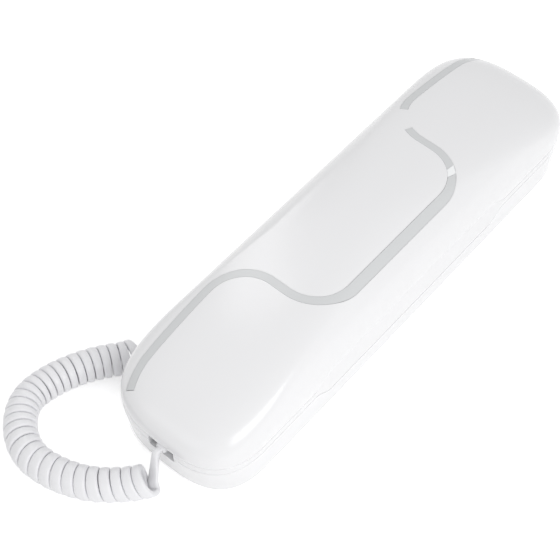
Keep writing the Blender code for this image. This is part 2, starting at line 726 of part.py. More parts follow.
def key_recess():
    """Cutter for the shallow recess that the keys face."""
    half_x = KEY_PITCH_X * (KEY_COLUMNS - 1) / 2 + KEY_HALF_WIDTH + KEY_RECESS_MARGIN
    top = KEY_TOP_ROW_Y + KEY_HALF_HEIGHT + KEY_RECESS_MARGIN
    bottom = FUNCTION_ROW_Y - FUNCTION_HALF_HEIGHT - KEY_RECESS_MARGIN
    z = cradle_top(0.0) - KEY_RECESS_DEPTH
    return box((-half_x, bottom, z), (half_x, top, cradle_top(0.0) + CUT))


def base_screw_places():
    """Where the four base screws stand."""
    return [(x, y) for y in (BASE_SCREW_Y, -BASE_SCREW_Y) for x in (-BASE_SCREW_X, BASE_SCREW_X)]


def rear_cover():
    """Flat back of the base, with wall keyholes, screw holes, foot pockets and ringer vents."""
    low = [(x, y, FOOT_PROUD) for x, y, _ in base_ring(WALL + GAP, lambda y: FOOT_PROUD)]
    high = [(x, y, BASE_INSIDE_Z) for x, y, _ in low]
    cover = new_object("rear_cover", lofted([low, high]), WHITE_SATIN)
    below = FOOT_PROUD - CUT
    above = BASE_INSIDE_Z + CUT
    for i, (x, y) in enumerate(base_screw_places()):
        head_top = FOOT_PROUD + SCREW_HEAD_HEIGHT + GAP
        head = SCREW_HEAD + GAP
        stations = ((head, below), (head, head_top), (SCREW_BORE, head_top), (SCREW_BORE, above))
        boolean(cover, cutter(f"cover_screw_hole_{i + 1}", turned((x, y), stations, HOLE_SIDES)))
    for i, (x, y) in enumerate(foot_places()):
        pocket = turned((x, y), ((FOOT_RADIUS + GAP, below), (FOOT_RADIUS + GAP, FOOT_PROUD + FOOT_SEAT)))
        boolean(cover, cutter(f"foot_pocket_{i + 1}", pocket))
    for i, y in enumerate((KEYHOLE_Y, -KEYHOLE_Y)):
        boolean(cover, cutter(f"keyhole_{i + 1}", keyhole(y, below, above)))
    for i in range(RINGER_VENTS):
        x = (i - (RINGER_VENTS - 1) / 2) * RINGER_VENT_PITCH
        low = (x - RINGER_VENT_HALF_WIDTH, RINGER_Y - RINGER_VENT_HALF_LENGTH, below)
        vent = box(low, (x + RINGER_VENT_HALF_WIDTH, RINGER_Y + RINGER_VENT_HALF_LENGTH, above))
        boolean(cover, cutter(f"ringer_vent_{i + 1}", vent))
    return cover


def keyhole(y, low, high):
    """Cutter for a keyhole whose hanging point is at y: a round entry below a narrow slot."""
    neck = math.asin(KEYHOLE_SLOT / KEYHOLE_ENTRY)
    entry = y - KEYHOLE_DROP
    points = []
    for share in steps_of(HOLE_SIDES):
        angle = math.pi / 2 + neck + (2 * math.pi - 2 * neck) * share
        points.append((KEYHOLE_ENTRY * math.cos(angle), entry + KEYHOLE_ENTRY * math.sin(angle)))
    for share in steps_of(HOLE_SIDES // 2):
        angle = math.pi * share
        points.append((KEYHOLE_SLOT * math.cos(angle), y + KEYHOLE_SLOT * math.sin(angle)))
    return lofted([[(px, py, z) for px, py in points] for z in (low, high)])


def steps_of(count):
    """Even shares from 0 to 1."""
    return [i / count for i in range(count + 1)]


def foot_places():
    """Where the four feet are."""
    return [(x, y) for y in (FOOT_Y, -FOOT_Y) for x in (-FOOT_X, FOOT_X)]


def rubber_feet():
    """Four soft feet, each in its pocket."""
    for i, (x, y) in enumerate(foot_places()):
        top = FOOT_PROUD + FOOT_SEAT - GAP
        stations = ((FOOT_RADIUS - FOOT_CHAMFER, 0.0), (FOOT_RADIUS, FOOT_CHAMFER), (FOOT_RADIUS, top))
        new_object(f"rubber_foot_{i + 1}", turned((x, y), stations), RUBBER_GREY, (x, y, 0.0))


def screw(name, x, y, seat, length):
    """A pan head screw that points up from its seat."""
    tip = seat + length
    stations = (
        (SCREW_HEAD, seat),
        (SCREW_HEAD, seat + SCREW_HEAD_HEIGHT),
        (SCREW_SHANK, seat + SCREW_HEAD_HEIGHT),
        (SCREW_SHANK, tip - SCREW_SHANK),
        (SCREW_SHANK * SCREW_POINT, tip),
    )
    obj = new_object(name, turned((x, y), stations, SMALL_SIDES), STEEL, (x, y, seat))
    low = (x - SCREW_SLOT_HALF_LENGTH, y - SCREW_SLOT_HALF_WIDTH, seat - CUT)
    high = (x + SCREW_SLOT_HALF_LENGTH, y + SCREW_SLOT_HALF_WIDTH, seat + SCREW_SLOT_DEPTH)
    boolean(obj, cutter(f"{name}_slot", box(low, high)))


def base_screws():
    """Four screws through the rear cover."""
    for i, (x, y) in enumerate(base_screw_places()):
        screw(f"base_screw_{i + 1}", x, y, FOOT_PROUD, BASE_SCREW_LENGTH)


def jack_hole(y, width):
    """Cutter for a socket's opening in the base's left wall."""
    low = (-HALF_WIDTH - CUT, y - width / 2 - GAP, JACK_LOW_Z - GAP)
    high = (-HALF_WIDTH + WALL + CUT, y + width / 2 + GAP, JACK_LOW_Z + JACK_HEIGHT + GAP)
    return box(low, high)


def jack(name, y, width, cavity):
    """A modular socket in the left wall, open towards -X."""
    face = -HALF_WIDTH + JACK_FACE_INSET
    low = (face, y - width / 2, JACK_LOW_Z)
    high = (-JACK_INNER_X, y + width / 2, JACK_LOW_Z + JACK_HEIGHT)
    obj = new_object(name, box(low, high), DARK_PLASTIC, (face, y, jack_middle_z()))
    low = (face - CUT, y - cavity / 2, JACK_LOW_Z + JACK_WALL)
    high = (face + PLUG_LENGTH, y + cavity / 2, JACK_LOW_Z + JACK_HEIGHT - JACK_WALL)
    boolean(obj, cutter(f"{name}_cavity", box(low, high)))


def jack_middle_z():
    """Height of a base socket's middle."""
    return JACK_LOW_Z + JACK_HEIGHT / 2


def base_circuit_board():
    """Board under the ear well, between the line socket and the hook switch."""
    low_z = BASE_INSIDE_Z + GAP
    low = (-BASE_BOARD_HALF_X, BASE_BOARD_LOW_Y, low_z)
    high = (BASE_BOARD_HALF_X, BASE_BOARD_HIGH_Y, BOARD_TOP_Z)
    new_object("base_circuit_board", box(low, high), BOARD_GREEN)


def hook_switch():
    """Small switch beside the hook plunger."""
    high_x = PLUNGER_X - PLUNGER_FLANGE - HOOK_SWITCH_SIDE_GAP
    middle_y = PLUNGER_Y - HOOK_SWITCH_BACK
    low_z = BOARD_TOP_Z + GAP
    low = (high_x - HOOK_SWITCH_WIDTH, middle_y - HOOK_SWITCH_LENGTH / 2, low_z)
    high = (high_x, middle_y + HOOK_SWITCH_LENGTH / 2, low_z + HOOK_SWITCH_HEIGHT)
    new_object("hook_switch", box(low, high), DARK_PLASTIC)


def plunger_hole(low, high):
    """Cutter for the hole that the hook plunger's stem slides in."""
    radius = PLUNGER_RADIUS + GAP
    return turned((PLUNGER_X, PLUNGER_Y), ((radius, low), (radius, high)), HOLE_SIDES)


def plunger_flange_z():
    """Lower face of the hook plunger's flange, with room above it for the travel."""
    return cradle_underside(PLUNGER_Y) - GAP - HOOK_TRAVEL - PLUNGER_FLANGE_HEIGHT


def hook_plunger():
    """Plunger that the handset holds down."""
    flange = plunger_flange_z()
    top = cradle_top(PLUNGER_Y)
    stations = (
        (PLUNGER_FLANGE, flange),
        (PLUNGER_FLANGE, flange + PLUNGER_FLANGE_HEIGHT),
        (PLUNGER_RADIUS, flange + PLUNGER_FLANGE_HEIGHT),
        (PLUNGER_RADIUS, top - PLUNGER_CHAMFER),
        (PLUNGER_RADIUS - PLUNGER_CHAMFER, top),
    )
    centre = (PLUNGER_X, PLUNGER_Y)
    new_object("hook_plunger", turned(centre, stations, HOLE_SIDES), WHITE_SATIN, (*centre, flange))


def hook_spring():
    """Coil spring under the plunger."""
    low = BOARD_TOP_Z + GAP + SPRING_WIRE
    high = plunger_flange_z() - GAP - SPRING_WIRE
    points = []
    for share in steps_of(SPRING_TURNS * SPRING_STEPS):
        angle = 2 * math.pi * SPRING_TURNS * share
        x = PLUNGER_X + SPRING_RADIUS * math.cos(angle)
        points.append(Vector((x, PLUNGER_Y + SPRING_RADIUS * math.sin(angle), low + (high - low) * share)))
    sections = [(SPRING_WIRE * 2, SPRING_WIRE * 2)] * len(points)
    wire = band(points, sections, [Vector((0.0, 0.0, 1.0))] * len(points))
    new_object("hook_spring", wire, STEEL, (PLUNGER_X, PLUNGER_Y, low))


def ballast_plate():
    """Steel plate that keeps the base down."""
    low = (-BALLAST_HALF_X, -BALLAST_HALF_Y, BASE_INSIDE_Z + GAP)
    high = (BALLAST_HALF_X, BALLAST_HALF_Y, BASE_INSIDE_Z + GAP + BALLAST_THICKNESS)
    new_object("ballast_plate", box(low, high), STEEL)


def ringer_disc():
    """Flat sounder over the vents."""
    low = BASE_INSIDE_Z + GAP
    stations = ((RINGER_RADIUS, low), (RINGER_RADIUS, low + RINGER_THICKNESS))
    new_object("ringer_disc", turned((0.0, RINGER_Y), stations, FINE_SIDES), BRASS)


def knob_slot():
    """Cutter for the slot that the ringer knob's stem runs in."""
    rise = KNOB_STEM_HALF_HEIGHT + GAP
    reach = KNOB_STEM_HALF_LENGTH + GAP
    low = (-HALF_WIDTH - CUT, KNOB_Y - reach, KNOB_Z - rise)
    return box(low, (-HALF_WIDTH + WALL + CUT, KNOB_Y + KNOB_THROW + reach, KNOB_Z + rise))


def knob_pocket():
    """Cutter for the shallow pocket that the ringer knob runs in."""
    rise = KNOB_HALF_HEIGHT + GAP
    reach = KNOB_HALF_LENGTH + GAP
    low = (-HALF_WIDTH - CUT, KNOB_Y - reach, KNOB_Z - rise)
    return box(low, (-HALF_WIDTH + KNOB_POCKET, KNOB_Y + KNOB_THROW + reach, KNOB_Z + rise))


def ringer_knob():
    """Ringer knob in its pocket, with a stem through the wall and a keeper behind it."""
    face = -HALF_WIDTH + BASE_FOOT_INSET_X
    back = -HALF_WIDTH + KNOB_POCKET - GAP
    inner = -HALF_WIDTH + WALL + BASE_FOOT_INSET_X + GAP
    rings = []
    for x, half_y, half_z in (
        (face, KNOB_HALF_LENGTH, KNOB_HALF_HEIGHT),
        (back, KNOB_HALF_LENGTH, KNOB_HALF_HEIGHT),
        (back, KNOB_STEM_HALF_LENGTH, KNOB_STEM_HALF_HEIGHT),
        (inner, KNOB_STEM_HALF_LENGTH, KNOB_STEM_HALF_HEIGHT),
        (inner, KNOB_HALF_LENGTH, KNOB_HALF_HEIGHT),
        (inner + KNOB_KEEPER, KNOB_HALF_LENGTH, KNOB_HALF_HEIGHT),
    ):
        rings.append([(x, KNOB_Y + half_y * side, KNOB_Z + half_z * up) for side, up in CORNERS])
    new_object("ringer_knob", lofted(rings), KEY_GREY, (face, KNOB_Y, KNOB_Z))


# =============================================================================
# handset
# =============================================================================
def plate_z(y):
    """Outer face of the handset's inner plate, which lies on the base."""
    return base_seam(y) + HALF_GAP


def plate_inside_z(y):
    """Inner face of that plate."""
    return plate_z(y) + FLOOR


def rim_z(y):
    """Upper edge of the handset's back shell."""
    return shell_seam(y) - HALF_GAP


def back_shell():
    """Handset shell with the keys: plate, rim with the finger grips, ear cup and mouth cup."""
    rings = [
        wall_ring(0.0, plate_z, GRIP_LOW_DEPTH),
        wall_ring(0.0, rim_z),
        wall_ring(WALL, rim_z),
        wall_ring(WALL, plate_inside_z),
    ]
    shell = new_object("handset_back_shell", tray(rings), WHITE_GLOSS)
    cups(shell)
    cup_holes(shell)
    plate_openings(shell)
    handset_notch(shell)


def cups(shell):
    """Add the two cups and hollow them."""
    join = plate_z(EAR_Y) + FLOOR / 2
    above = plate_inside_z(EAR_Y) + CUT
    for name, ring, face in cup_list():
        boolean(shell, cutter(f"{name}_cup_outside", cup_solid(ring, 0.0, face, join)), "UNION")
        hollow = cup_solid(ring, -WALL, face + CUP_FLOOR, above)
        boolean(shell, cutter(f"{name}_cup_inside", hollow))


def cup_holes(shell):
    """Cut the sound holes."""
    ear_face, mouth_face = cup_faces()
    for i, place in enumerate(ear_hole_places()):
        stations = ((EAR_HOLE, ear_face - CUT), (EAR_HOLE, ear_face + CUP_FLOOR + CUT))
        boolean(shell, cutter(f"ear_hole_{i + 1}", turned(place, stations, SMALL_SIDES)))
    for i in range(MOUTH_HOLES):
        x = (i - (MOUTH_HOLES - 1) / 2) * MOUTH_HOLE_PITCH
        stations = ((MOUTH_HOLE, mouth_face - CUT), (MOUTH_HOLE, mouth_face + CUP_FLOOR + CUT))
        boolean(shell, cutter(f"mouth_hole_{i + 1}", turned((x, MIC_Y), stations, SMALL_SIDES)))


def plate_openings(shell):
    """Cut the holes of the keys and the screws."""
    for name, x, y, half_height in key_places():
        hole = key_block(x, y, half_height, GAP, plate_z(y) - CUT, plate_inside_z(y) + CUT)
        boolean(shell, cutter(f"{name}_hole", hole))
    for i, y in enumerate((HANDSET_SCREW_EAR_Y, HANDSET_SCREW_MOUTH_Y)):
        head = SCREW_HEAD + GAP
        seat = plate_z(y) + SCREW_HEAD_HEIGHT + GAP
        above = plate_inside_z(y) + CUT
        stations = ((head, plate_z(y) - CUT), (head, seat), (SCREW_BORE, seat), (SCREW_BORE, above))
        boolean(shell, cutter(f"plate_screw_hole_{i + 1}", turned((0.0, y), stations, HOLE_SIDES)))


def handset_notch(shell):
    """Cut the notch that the cord's plug shows in."""
    _, mouth_face = cup_faces()
    half = NOTCH_WIDTH / 2
    low = (NOTCH_X - half, -HALF_LENGTH - CUT, mouth_face + CUP_FLOOR)
    high = (NOTCH_X + half, MOUTH_Y - MOUTH_HALF_LENGTH + NOTCH_REACH, SHELL_SEAM_Z + CUT)
    boolean(shell, cutter("handset_notch", box(low, high)))


def ear_hole_places():
    """One hole in the middle of the ear cup and a circle round it."""
    places = [(0.0, EAR_Y)]
    for i in range(EAR_HOLES):
        angle = 2 * math.pi * i / EAR_HOLES
        x = EAR_HOLE_CIRCLE * math.cos(angle)
        places.append((x, EAR_Y + EAR_HOLE_CIRCLE * math.sin(angle)))
    return places


def key_places():
    """Name, x, y and half height of each key. The columns are mirrored, because keys face down."""
    places = []
    for row, names in enumerate(KEY_NAMES):
        for column, name in enumerate(names):
            x = ((KEY_COLUMNS - 1) / 2 - column) * KEY_PITCH_X
            places.append((name, x, KEY_TOP_ROW_Y - row * KEY_PITCH_Y, KEY_HALF_HEIGHT))
    for column, name in enumerate(FUNCTION_NAMES):
        x = ((KEY_COLUMNS - 1) / 2 - column) * KEY_PITCH_X
        places.append((name, x, FUNCTION_ROW_Y, FUNCTION_HALF_HEIGHT))
    return places


def key_ring(x, y, half_width, half_height, z):
    """A rounded rectangle of points round a key."""
    ring = rounded((x, y), half_width, half_height, KEY_CORNER_POWER, KEY_STEPS)
    return [(px, py, z) for px, py in ring]


def key_block(x, y, half_height, grow, low, high):
    """A straight prism of a key's outline."""
    width = KEY_HALF_WIDTH + grow
    height = half_height + grow
    return lofted([key_ring(x, y, width, height, low), key_ring(x, y, width, height, high)])


def key_back_z():
    """Upper face of a key's flange."""
    return plate_inside_z(0.0) + GAP + KEY_FLANGE


def keys():
    """Digit and function keys, each a crowned button with a flange behind the plate."""
    face = plate_z(0.0) - KEY_PROUD
    flange = plate_inside_z(0.0) + GAP
    for name, x, y, half_height in key_places():
        rings = []
        for share, height in KEY_CROWN:
            rings.append(key_ring(x, y, KEY_HALF_WIDTH * share, half_height * share, face + height))
        rings.append(key_ring(x, y, KEY_HALF_WIDTH, half_height, flange))
        wide, high = KEY_HALF_WIDTH + KEY_FLANGE_MARGIN, half_height + KEY_FLANGE_MARGIN
        rings.append(key_ring(x, y, wide, high, flange))
        rings.append(key_ring(x, y, wide, high, key_back_z()))
        new_object(name, lofted(rings), KEY_GREY, (x, y, face))


def mat_low_z():
    """Lower face of the keypad mat, clear of a pressed key."""
    return key_back_z() + KEY_TRAVEL + GAP


def keypad_mat():
    """Rubber sheet over the keys."""
    half_x = KEY_PITCH_X * (KEY_COLUMNS - 1) / 2 + KEY_HALF_WIDTH + MAT_MARGIN
    low = (-half_x, FUNCTION_ROW_Y - FUNCTION_HALF_HEIGHT - MAT_MARGIN, mat_low_z())
    high = (half_x, KEY_TOP_ROW_Y + KEY_HALF_HEIGHT + MAT_MARGIN, mat_low_z() + MAT_THICKNESS)
    new_object("keypad_mat", box(low, high), RUBBER_GREY)


def handset_board_top_z():
    """Upper face of the handset's circuit board."""
    return mat_low_z() + MAT_THICKNESS + GAP + HANDSET_BOARD_THICKNESS


def handset_circuit_board():
    """Board above the keypad mat."""
    top = handset_board_top_z()
    low = (-HANDSET_BOARD_HALF_X, -HANDSET_BOARD_HALF_Y, top - HANDSET_BOARD_THICKNESS)
    board = box(low, (HANDSET_BOARD_HALF_X, HANDSET_BOARD_HALF_Y, top))
    new_object("handset_circuit_board", board, BOARD_GREEN)


def handset_weight():
    """Steel bar that makes the handset sit firmly."""
    low = (-WEIGHT_HALF_X, -WEIGHT_HALF_Y, handset_board_top_z() + GAP)
    high = (WEIGHT_HALF_X, WEIGHT_HALF_Y, handset_board_top_z() + GAP + WEIGHT_HEIGHT)
    new_object("handset_weight", box(low, high), STEEL)


def earpiece():
    """Receiver in the ear cup, on its gasket."""
    ear_face, _ = cup_faces()
    low = ear_face + CUP_FLOOR + GAP
    bore = RECEIVER_RADIUS - GASKET_WIDTH
    ring = pipe((0.0, EAR_Y), bore, RECEIVER_RADIUS, low, low + GASKET_HEIGHT, FINE_SIDES)
    new_object("earpiece_gasket", ring, RUBBER_GREY)
    seat = low + GASKET_HEIGHT + GAP
    stations = (
        (RECEIVER_RADIUS, seat),
        (RECEIVER_RADIUS, seat + RECEIVER_RIM_HEIGHT),
        (RECEIVER_MAGNET_RADIUS, seat + RECEIVER_RIM_HEIGHT + RECEIVER_SHOULDER),
        (RECEIVER_MAGNET_RADIUS, seat + RECEIVER_HEIGHT),
    )
    new_object("earpiece_receiver", turned((0.0, EAR_Y), stations, FINE_SIDES), DARK_PLASTIC)


def microphone():
    """Microphone capsule in its rubber boot."""
    _, mouth_face = cup_faces()
    low = mouth_face + CUP_FLOOR + GAP
    stations = ((MIC_RADIUS, low), (MIC_RADIUS, low + MIC_HEIGHT))
    new_object("microphone_capsule", turned((0.0, MIC_Y), stations), STEEL)
    inner = MIC_RADIUS + GAP
    boot = pipe((0.0, MIC_Y), inner, inner + BOOT_WALL, low, low + BOOT_HEIGHT)
    new_object("microphone_boot", boot, RUBBER_GREY)


def handset_screws():
    """Two screws through the plate into the front shell's posts."""
    for i, y in enumerate((HANDSET_SCREW_EAR_Y, HANDSET_SCREW_MOUTH_Y)):
        screw(f"handset_screw_{i + 1}", 0.0, y, plate_z(y), HANDSET_SCREW_LENGTH)


def notch_jack_low_z():
    """Lower face of the handset socket."""
    _, mouth_face = cup_faces()
    return mouth_face + CUP_FLOOR + GAP


def handset_plug_z():
    """Middle height of the plug in the handset."""
    return notch_jack_low_z() + HANDSET_JACK_WALL + GAP + PLUG_HEIGHT / 2


def handset_jack_face_y():
    """Open end of the handset socket."""
    return -HALF_LENGTH + HANDSET_JACK_SET_BACK


def handset_cord_jack():
    """Socket for the handset cord, open towards the mouth end."""
    face = handset_jack_face_y()
    half = PLUG_WIDTH / 2 + GAP + HANDSET_JACK_WALL
    low = (NOTCH_X - half, face, notch_jack_low_z())
    top = handset_plug_z() + PLUG_HEIGHT / 2 + GAP + HANDSET_JACK_ROOF
    high = (NOTCH_X + half, face + PLUG_LENGTH + JACK_BACK_WALL, top)
    obj = new_object("handset_cord_jack", box(low, high), DARK_PLASTIC)
    half = PLUG_WIDTH / 2 + GAP
    rise = PLUG_HEIGHT / 2 + GAP
    low = (NOTCH_X - half, face - CUT, handset_plug_z() - rise)
    high = (NOTCH_X + half, face + PLUG_LENGTH, handset_plug_z() + rise)
    boolean(obj, cutter("handset_jack_cavity", box(low, high)))


def front_shell():
    """Arched outer shell of the handset, with the ribbon's grooves and the lamp's hole."""
    outer = crown_rings(0.0, CROWN_SHARES)
    inner = crown_rings(WALL, CROWN_SHARES[::2])
    shell = new_object("handset_front_shell", tray(list(reversed(inner)) + outer), WHITE_GLOSS)
    handset_posts(shell)
    ribbon_grooves(shell)
    top = crown_z(*lamp_place())
    hole = turned(lamp_place(), ((LAMP_HOLE, top - LAMP_POST), (LAMP_HOLE, top + CUT)), HOLE_SIDES)
    boolean(shell, cutter("lamp_hole", hole))


def handset_posts(shell):
    """Add the posts that the handset screws hold."""
    for i, y in enumerate((HANDSET_SCREW_EAR_Y, HANDSET_SCREW_MOUTH_Y)):
        low = plate_inside_z(y) + GAP
        high = crown_z(0.0, y) - WALL / 2
        post = turned((0.0, y), ((HANDSET_POST_RADIUS, low), (HANDSET_POST_RADIUS, high)), HOLE_SIDES)
        boolean(shell, cutter(f"handset_post_{i + 1}", post), "UNION")
        tip = plate_z(y) + HANDSET_SCREW_LENGTH + GAP
        bore = turned((0.0, y), ((SCREW_BORE, low - CUT), (SCREW_BORE, tip)), HOLE_SIDES)
        boolean(shell, cutter(f"handset_post_bore_{i + 1}", bore))


# ---- ribbon -----------------------------------------------------------------
def ribbon_point(leg):
    """A point of the ribbon's route on plan, at a place along its legs; the mouth end's are negative."""
    at = abs(leg)
    side = -1.0 if leg < 0 else 1.0
    bend_y = RIBBON_CROSS_Y - RIBBON_BEND
    left_y = RIBBON_CROSS_Y + RIBBON_BEND
    if at <= 1:
        return RIBBON_RIGHT_X, side * bend_y * at
    if at <= 2:
        angle = math.pi / 2 * (at - 1)
        x = RIBBON_RIGHT_X - RIBBON_BEND + RIBBON_BEND * math.cos(angle)
        return x, side * (bend_y + RIBBON_BEND * math.sin(angle))
    if at <= 3:
        angle = math.pi / 2 * (at - 2)
        x = RIBBON_LEFT_X + RIBBON_BEND - RIBBON_BEND * math.sin(angle)
        return x, side * (left_y - RIBBON_BEND * math.cos(angle))
    y = left_y + (RIBBON_END_Y - left_y) * (at - 3)
    pull = max(0.0, y - RIBBON_END_Y + RIBBON_END_RUN) / RIBBON_END_RUN
    return RIBBON_LEFT_X + RIBBON_END_PULL * pull**2, side * y


def ribbon_half_width(leg):
    """Half of the ribbon's width at a place along its route."""
    narrower = (RIBBON_WIDTH - RIBBON_NARROW) * eased(min(max(abs(leg) - 1, 0.0) * 2, 1.0))
    return (RIBBON_WIDTH - narrower) / 2


def ribbon_legs(start, end):
    """Places along the route from one to another, with the legs' own points between them."""
    places = []
    for side in (-1, 1):
        for i in range(RIBBON_LEGS):
            places += [side * (i + share) for share in steps_of(RIBBON_LEG_STEPS[i])]
    margin = RIBBON_END_GAP_LEG + LAMP_SLANT_LEG
    inner = sorted({round(place, 4) for place in places if start + margin < place < end - margin})
    return [start] + inner + [end]


def path_side(leg):
    """Unit vector to the right of the route."""
    before = ribbon_point(max(leg - RIBBON_END_GAP_LEG, -RIBBON_LEGS))
    after = ribbon_point(min(leg + RIBBON_END_GAP_LEG, RIBBON_LEGS))
    along = Vector((after[0] - before[0], after[1] - before[1], 0.0)).normalized()
    return Vector((along.y, -along.x, 0.0))


def ribbon_strip(start, end, grow, above, below):
    """A strip that follows the crown, from above the skin to below it; its ends at the lamp are slanted."""
    rings = []
    for leg in ribbon_legs(start, end):
        near_lamp = abs(abs(leg - LAMP_LEG) - LAMP_HALF_LEG) < 2 * RIBBON_END_GAP_LEG
        edges = []
        for share in (-1.0, 0.0, 1.0):
            place = leg + (LAMP_SLANT_LEG * share if near_lamp and leg in (start, end) else 0.0)
            x, y = ribbon_point(place)
            reach = path_side(place) * ((ribbon_half_width(leg) + grow) * share)
            edges.append(crown_point(x + reach.x, y + reach.y))
        low = [point - normal * below for point, normal in edges]
        high = [point + normal * above for point, normal in reversed(edges)]
        rings.append(low + high)
    return lofted(rings)


def ribbon_grooves(shell):
    """Cut the ribbon's two grooves into the shell."""
    stretches = ((-RIBBON_LEGS, BREAK_START_LEG), (BREAK_END_LEG, RIBBON_LEGS))
    for i, (start, end) in enumerate(stretches):
        groove = ribbon_strip(start, end, RIBBON_CLEARANCE, CUT, RIBBON_GROOVE)
        boolean(shell, cutter(f"ribbon_groove_{i + 1}", groove))


def lamp_place():
    """Middle of the ring lamp, on the ribbon's bend towards the ear end."""
    return ribbon_point(LAMP_LEG)


def ribbon_inlay():
    """Silver-grey ribbon in its grooves: up to the lamp, on to the break, and past the break."""
    for name, start, end in (
        ("ribbon_inlay", -RIBBON_LEGS, LAMP_LEG - LAMP_HALF_LEG),
        ("ribbon_inlay_bend", LAMP_LEG + LAMP_HALF_LEG, BREAK_START_LEG),
        ("ribbon_inlay_end", BREAK_END_LEG, RIBBON_LEGS),
    ):
        strip = ribbon_strip(start + RIBBON_END_GAP_LEG, end - RIBBON_END_GAP_LEG, 0.0, 0.0, RIBBON_THICKNESS)
        new_object(name, strip, SILVER_GREY)


def ring_lamp():
    """Window that fills the ribbon's width, the light guide under it, and the lamp under that."""
    x, y = lamp_place()
    foot = crown_z(x, y) - LAMP_POST
    edge = min(crown_z(x + LAMP_RADIUS, y), crown_z(x, y + LAMP_RADIUS)) - LAMP_SINK
    narrow = LAMP_RADIUS - LAMP_FOOT_CHAMFER / 4
    stations = ((narrow, foot), (LAMP_RADIUS, foot + LAMP_FOOT_CHAMFER), (LAMP_RADIUS, edge))
    window = new_object("ring_lamp_window", turned((x, y), stations, HOLE_SIDES), LAMP_CLEAR, (x, y, foot))
    strip = ribbon_strip(LAMP_LEG - LAMP_HALF_LEG, LAMP_LEG + LAMP_HALF_LEG, 0.0, 0.0, RIBBON_THICKNESS)
    boolean(window, cutter("lamp_window_top", strip), "UNION")
    low = handset_board_top_z() + GAP
    stations = ((LED_RADIUS, low), (LED_RADIUS, low + LED_RIM_HEIGHT), (LED_RADIUS / 2, low + LED_HEIGHT))
    new_object("ring_lamp_led", turned((x, y), stations, SMALL_SIDES), LAMP_CLEAR, (x, y, low))


# =============================================================================
# cord
# =============================================================================
def smooth_route(controls, step):
    """Points on a Catmull-Rom curve through the controls, about a step apart."""
    ends = [controls[0] * 2 - controls[1]] + controls + [controls[-1] * 2 - controls[-2]]
    dense = []
    for a, b, c, d in zip(ends, ends[1:], ends[2:], ends[3:]):
        for t in steps_of(ROUTE_STEPS)[:-1]:
            dense.append(0.5 * (2 * b + (c - a) * t + (2 * a - 5 * b + 4 * c - d) * t**2
                                + (3 * b - a - 3 * c + d) * t**3))
    dense.append(controls[-1])
    lengths = running_lengths(dense)
    count = max(2, round(lengths[-1] / step))
    route = []
    for i in range(count + 1):
        route.append(point_at(dense, lengths, lengths[-1] * i / count))
    return route


def running_lengths(points):
    """Distance along a polyline at each of its points."""
    lengths = [0.0]
    for before, after in zip(points, points[1:]):
        lengths.append(lengths[-1] + (after - before).length)
    return lengths


def point_at(points, lengths, distance):
    """The point at a distance along a polyline."""
    for i in range(1, len(points)):
        if lengths[i] >= distance or i == len(points) - 1:
            span = max(lengths[i] - lengths[i - 1], MERGE)
            return points[i - 1].lerp(points[i], min(1.0, (distance - lengths[i - 1]) / span))
    return points[-1]


def band(points, sections, broad_ways):
    """A six-sided flat tube through points; each section is (width, thickness)."""
    rings = []
    for i, point in enumerate(points):
        before = points[max(i - 1, 0)]
        after = points[min(i + 1, len(points) - 1)]
        along = (after - before).normalized()
        broad = broad_ways[i] - along * broad_ways[i].dot(along)
        broad.normalize()
        thick = along.cross(broad)
        width, height = sections[i]
        ring = []
        for across, up in BAND_SECTION:
            ring.append(point + broad * (width * across) + thick * (height * up))
        rings.append(ring)
    return lofted(rings)


def coil_controls():
    """Middle of the coil where it lies."""
    rest = COIL_DIAMETER / 2 + COIL_LIFT
    return [Vector((x, y, rest + lift)) for x, y, lift in COIL_ROUTE]


def coil_pitch(distance):
    """Advance of one curl at a distance from the coil's first end."""
    if distance <= COIL_PITCHES[0][0]:
        return COIL_PITCHES[0][1]
    for (start, before), (end, after) in zip(COIL_PITCHES, COIL_PITCHES[1:]):
        if distance < end:
            return before + (after - before) * eased((distance - start) / (end - start))
    return COIL_PITCHES[-1][1]


def coil_helix():
    """Points of the curly tube, with the way in which its band is broad at each."""
    route = smooth_route(coil_controls(), COIL_ROUTE_STEP)
    lengths = running_lengths(route)
    radius = (COIL_DIAMETER - BAND_THICKNESS) / 2
    points, ways = [], []
    distance = 0.0
    for i in range(round(COIL_TURNS * POINTS_PER_CURL) + 1):
        angle = COIL_START_ANGLE - 2 * math.pi * i / POINTS_PER_CURL
        middle = point_at(route, lengths, distance)
        ahead = point_at(route, lengths, min(distance + 2 * COIL_ROUTE_STEP, lengths[-1]))
        behind = point_at(route, lengths, max(distance - 2 * COIL_ROUTE_STEP, 0.0))
        along = (ahead - behind).normalized()
        side = along.cross(Vector((0.0, 0.0, 1.0))).normalized()
        rise = side.cross(along) * math.cos(COIL_LEAN) + along * math.sin(COIL_LEAN)
        points.append(middle + side * (radius * math.cos(angle)) + rise * (radius * math.sin(angle)))
        ways.append(rise.cross(side).normalized())
        distance += coil_pitch(distance) / POINTS_PER_CURL
    return points, ways


def coil_sections(points, ways):
    """Width and thickness of the band at each point, so that neighbouring curls keep their gap."""
    sections = []
    last = len(points) - 1
    for i in range(len(points)):
        step = POINTS_PER_CURL if i + POINTS_PER_CURL <= last else -POINTS_PER_CURL
        advance = abs((points[i + step] - points[i]).dot((ways[i] + ways[i + step]).normalized()))
        if 0 <= i - POINTS_PER_CURL and i + POINTS_PER_CURL <= last:
            back = i - POINTS_PER_CURL
            other = abs((points[i] - points[back]).dot((ways[i] + ways[back]).normalized()))
            advance = min(advance, other)
        width = min(BAND_WIDTH, advance - BAND_GAP)
        sections.append((width, min(BAND_THICKNESS, max(width, BAND_LEAST_THICKNESS))))
    return sections


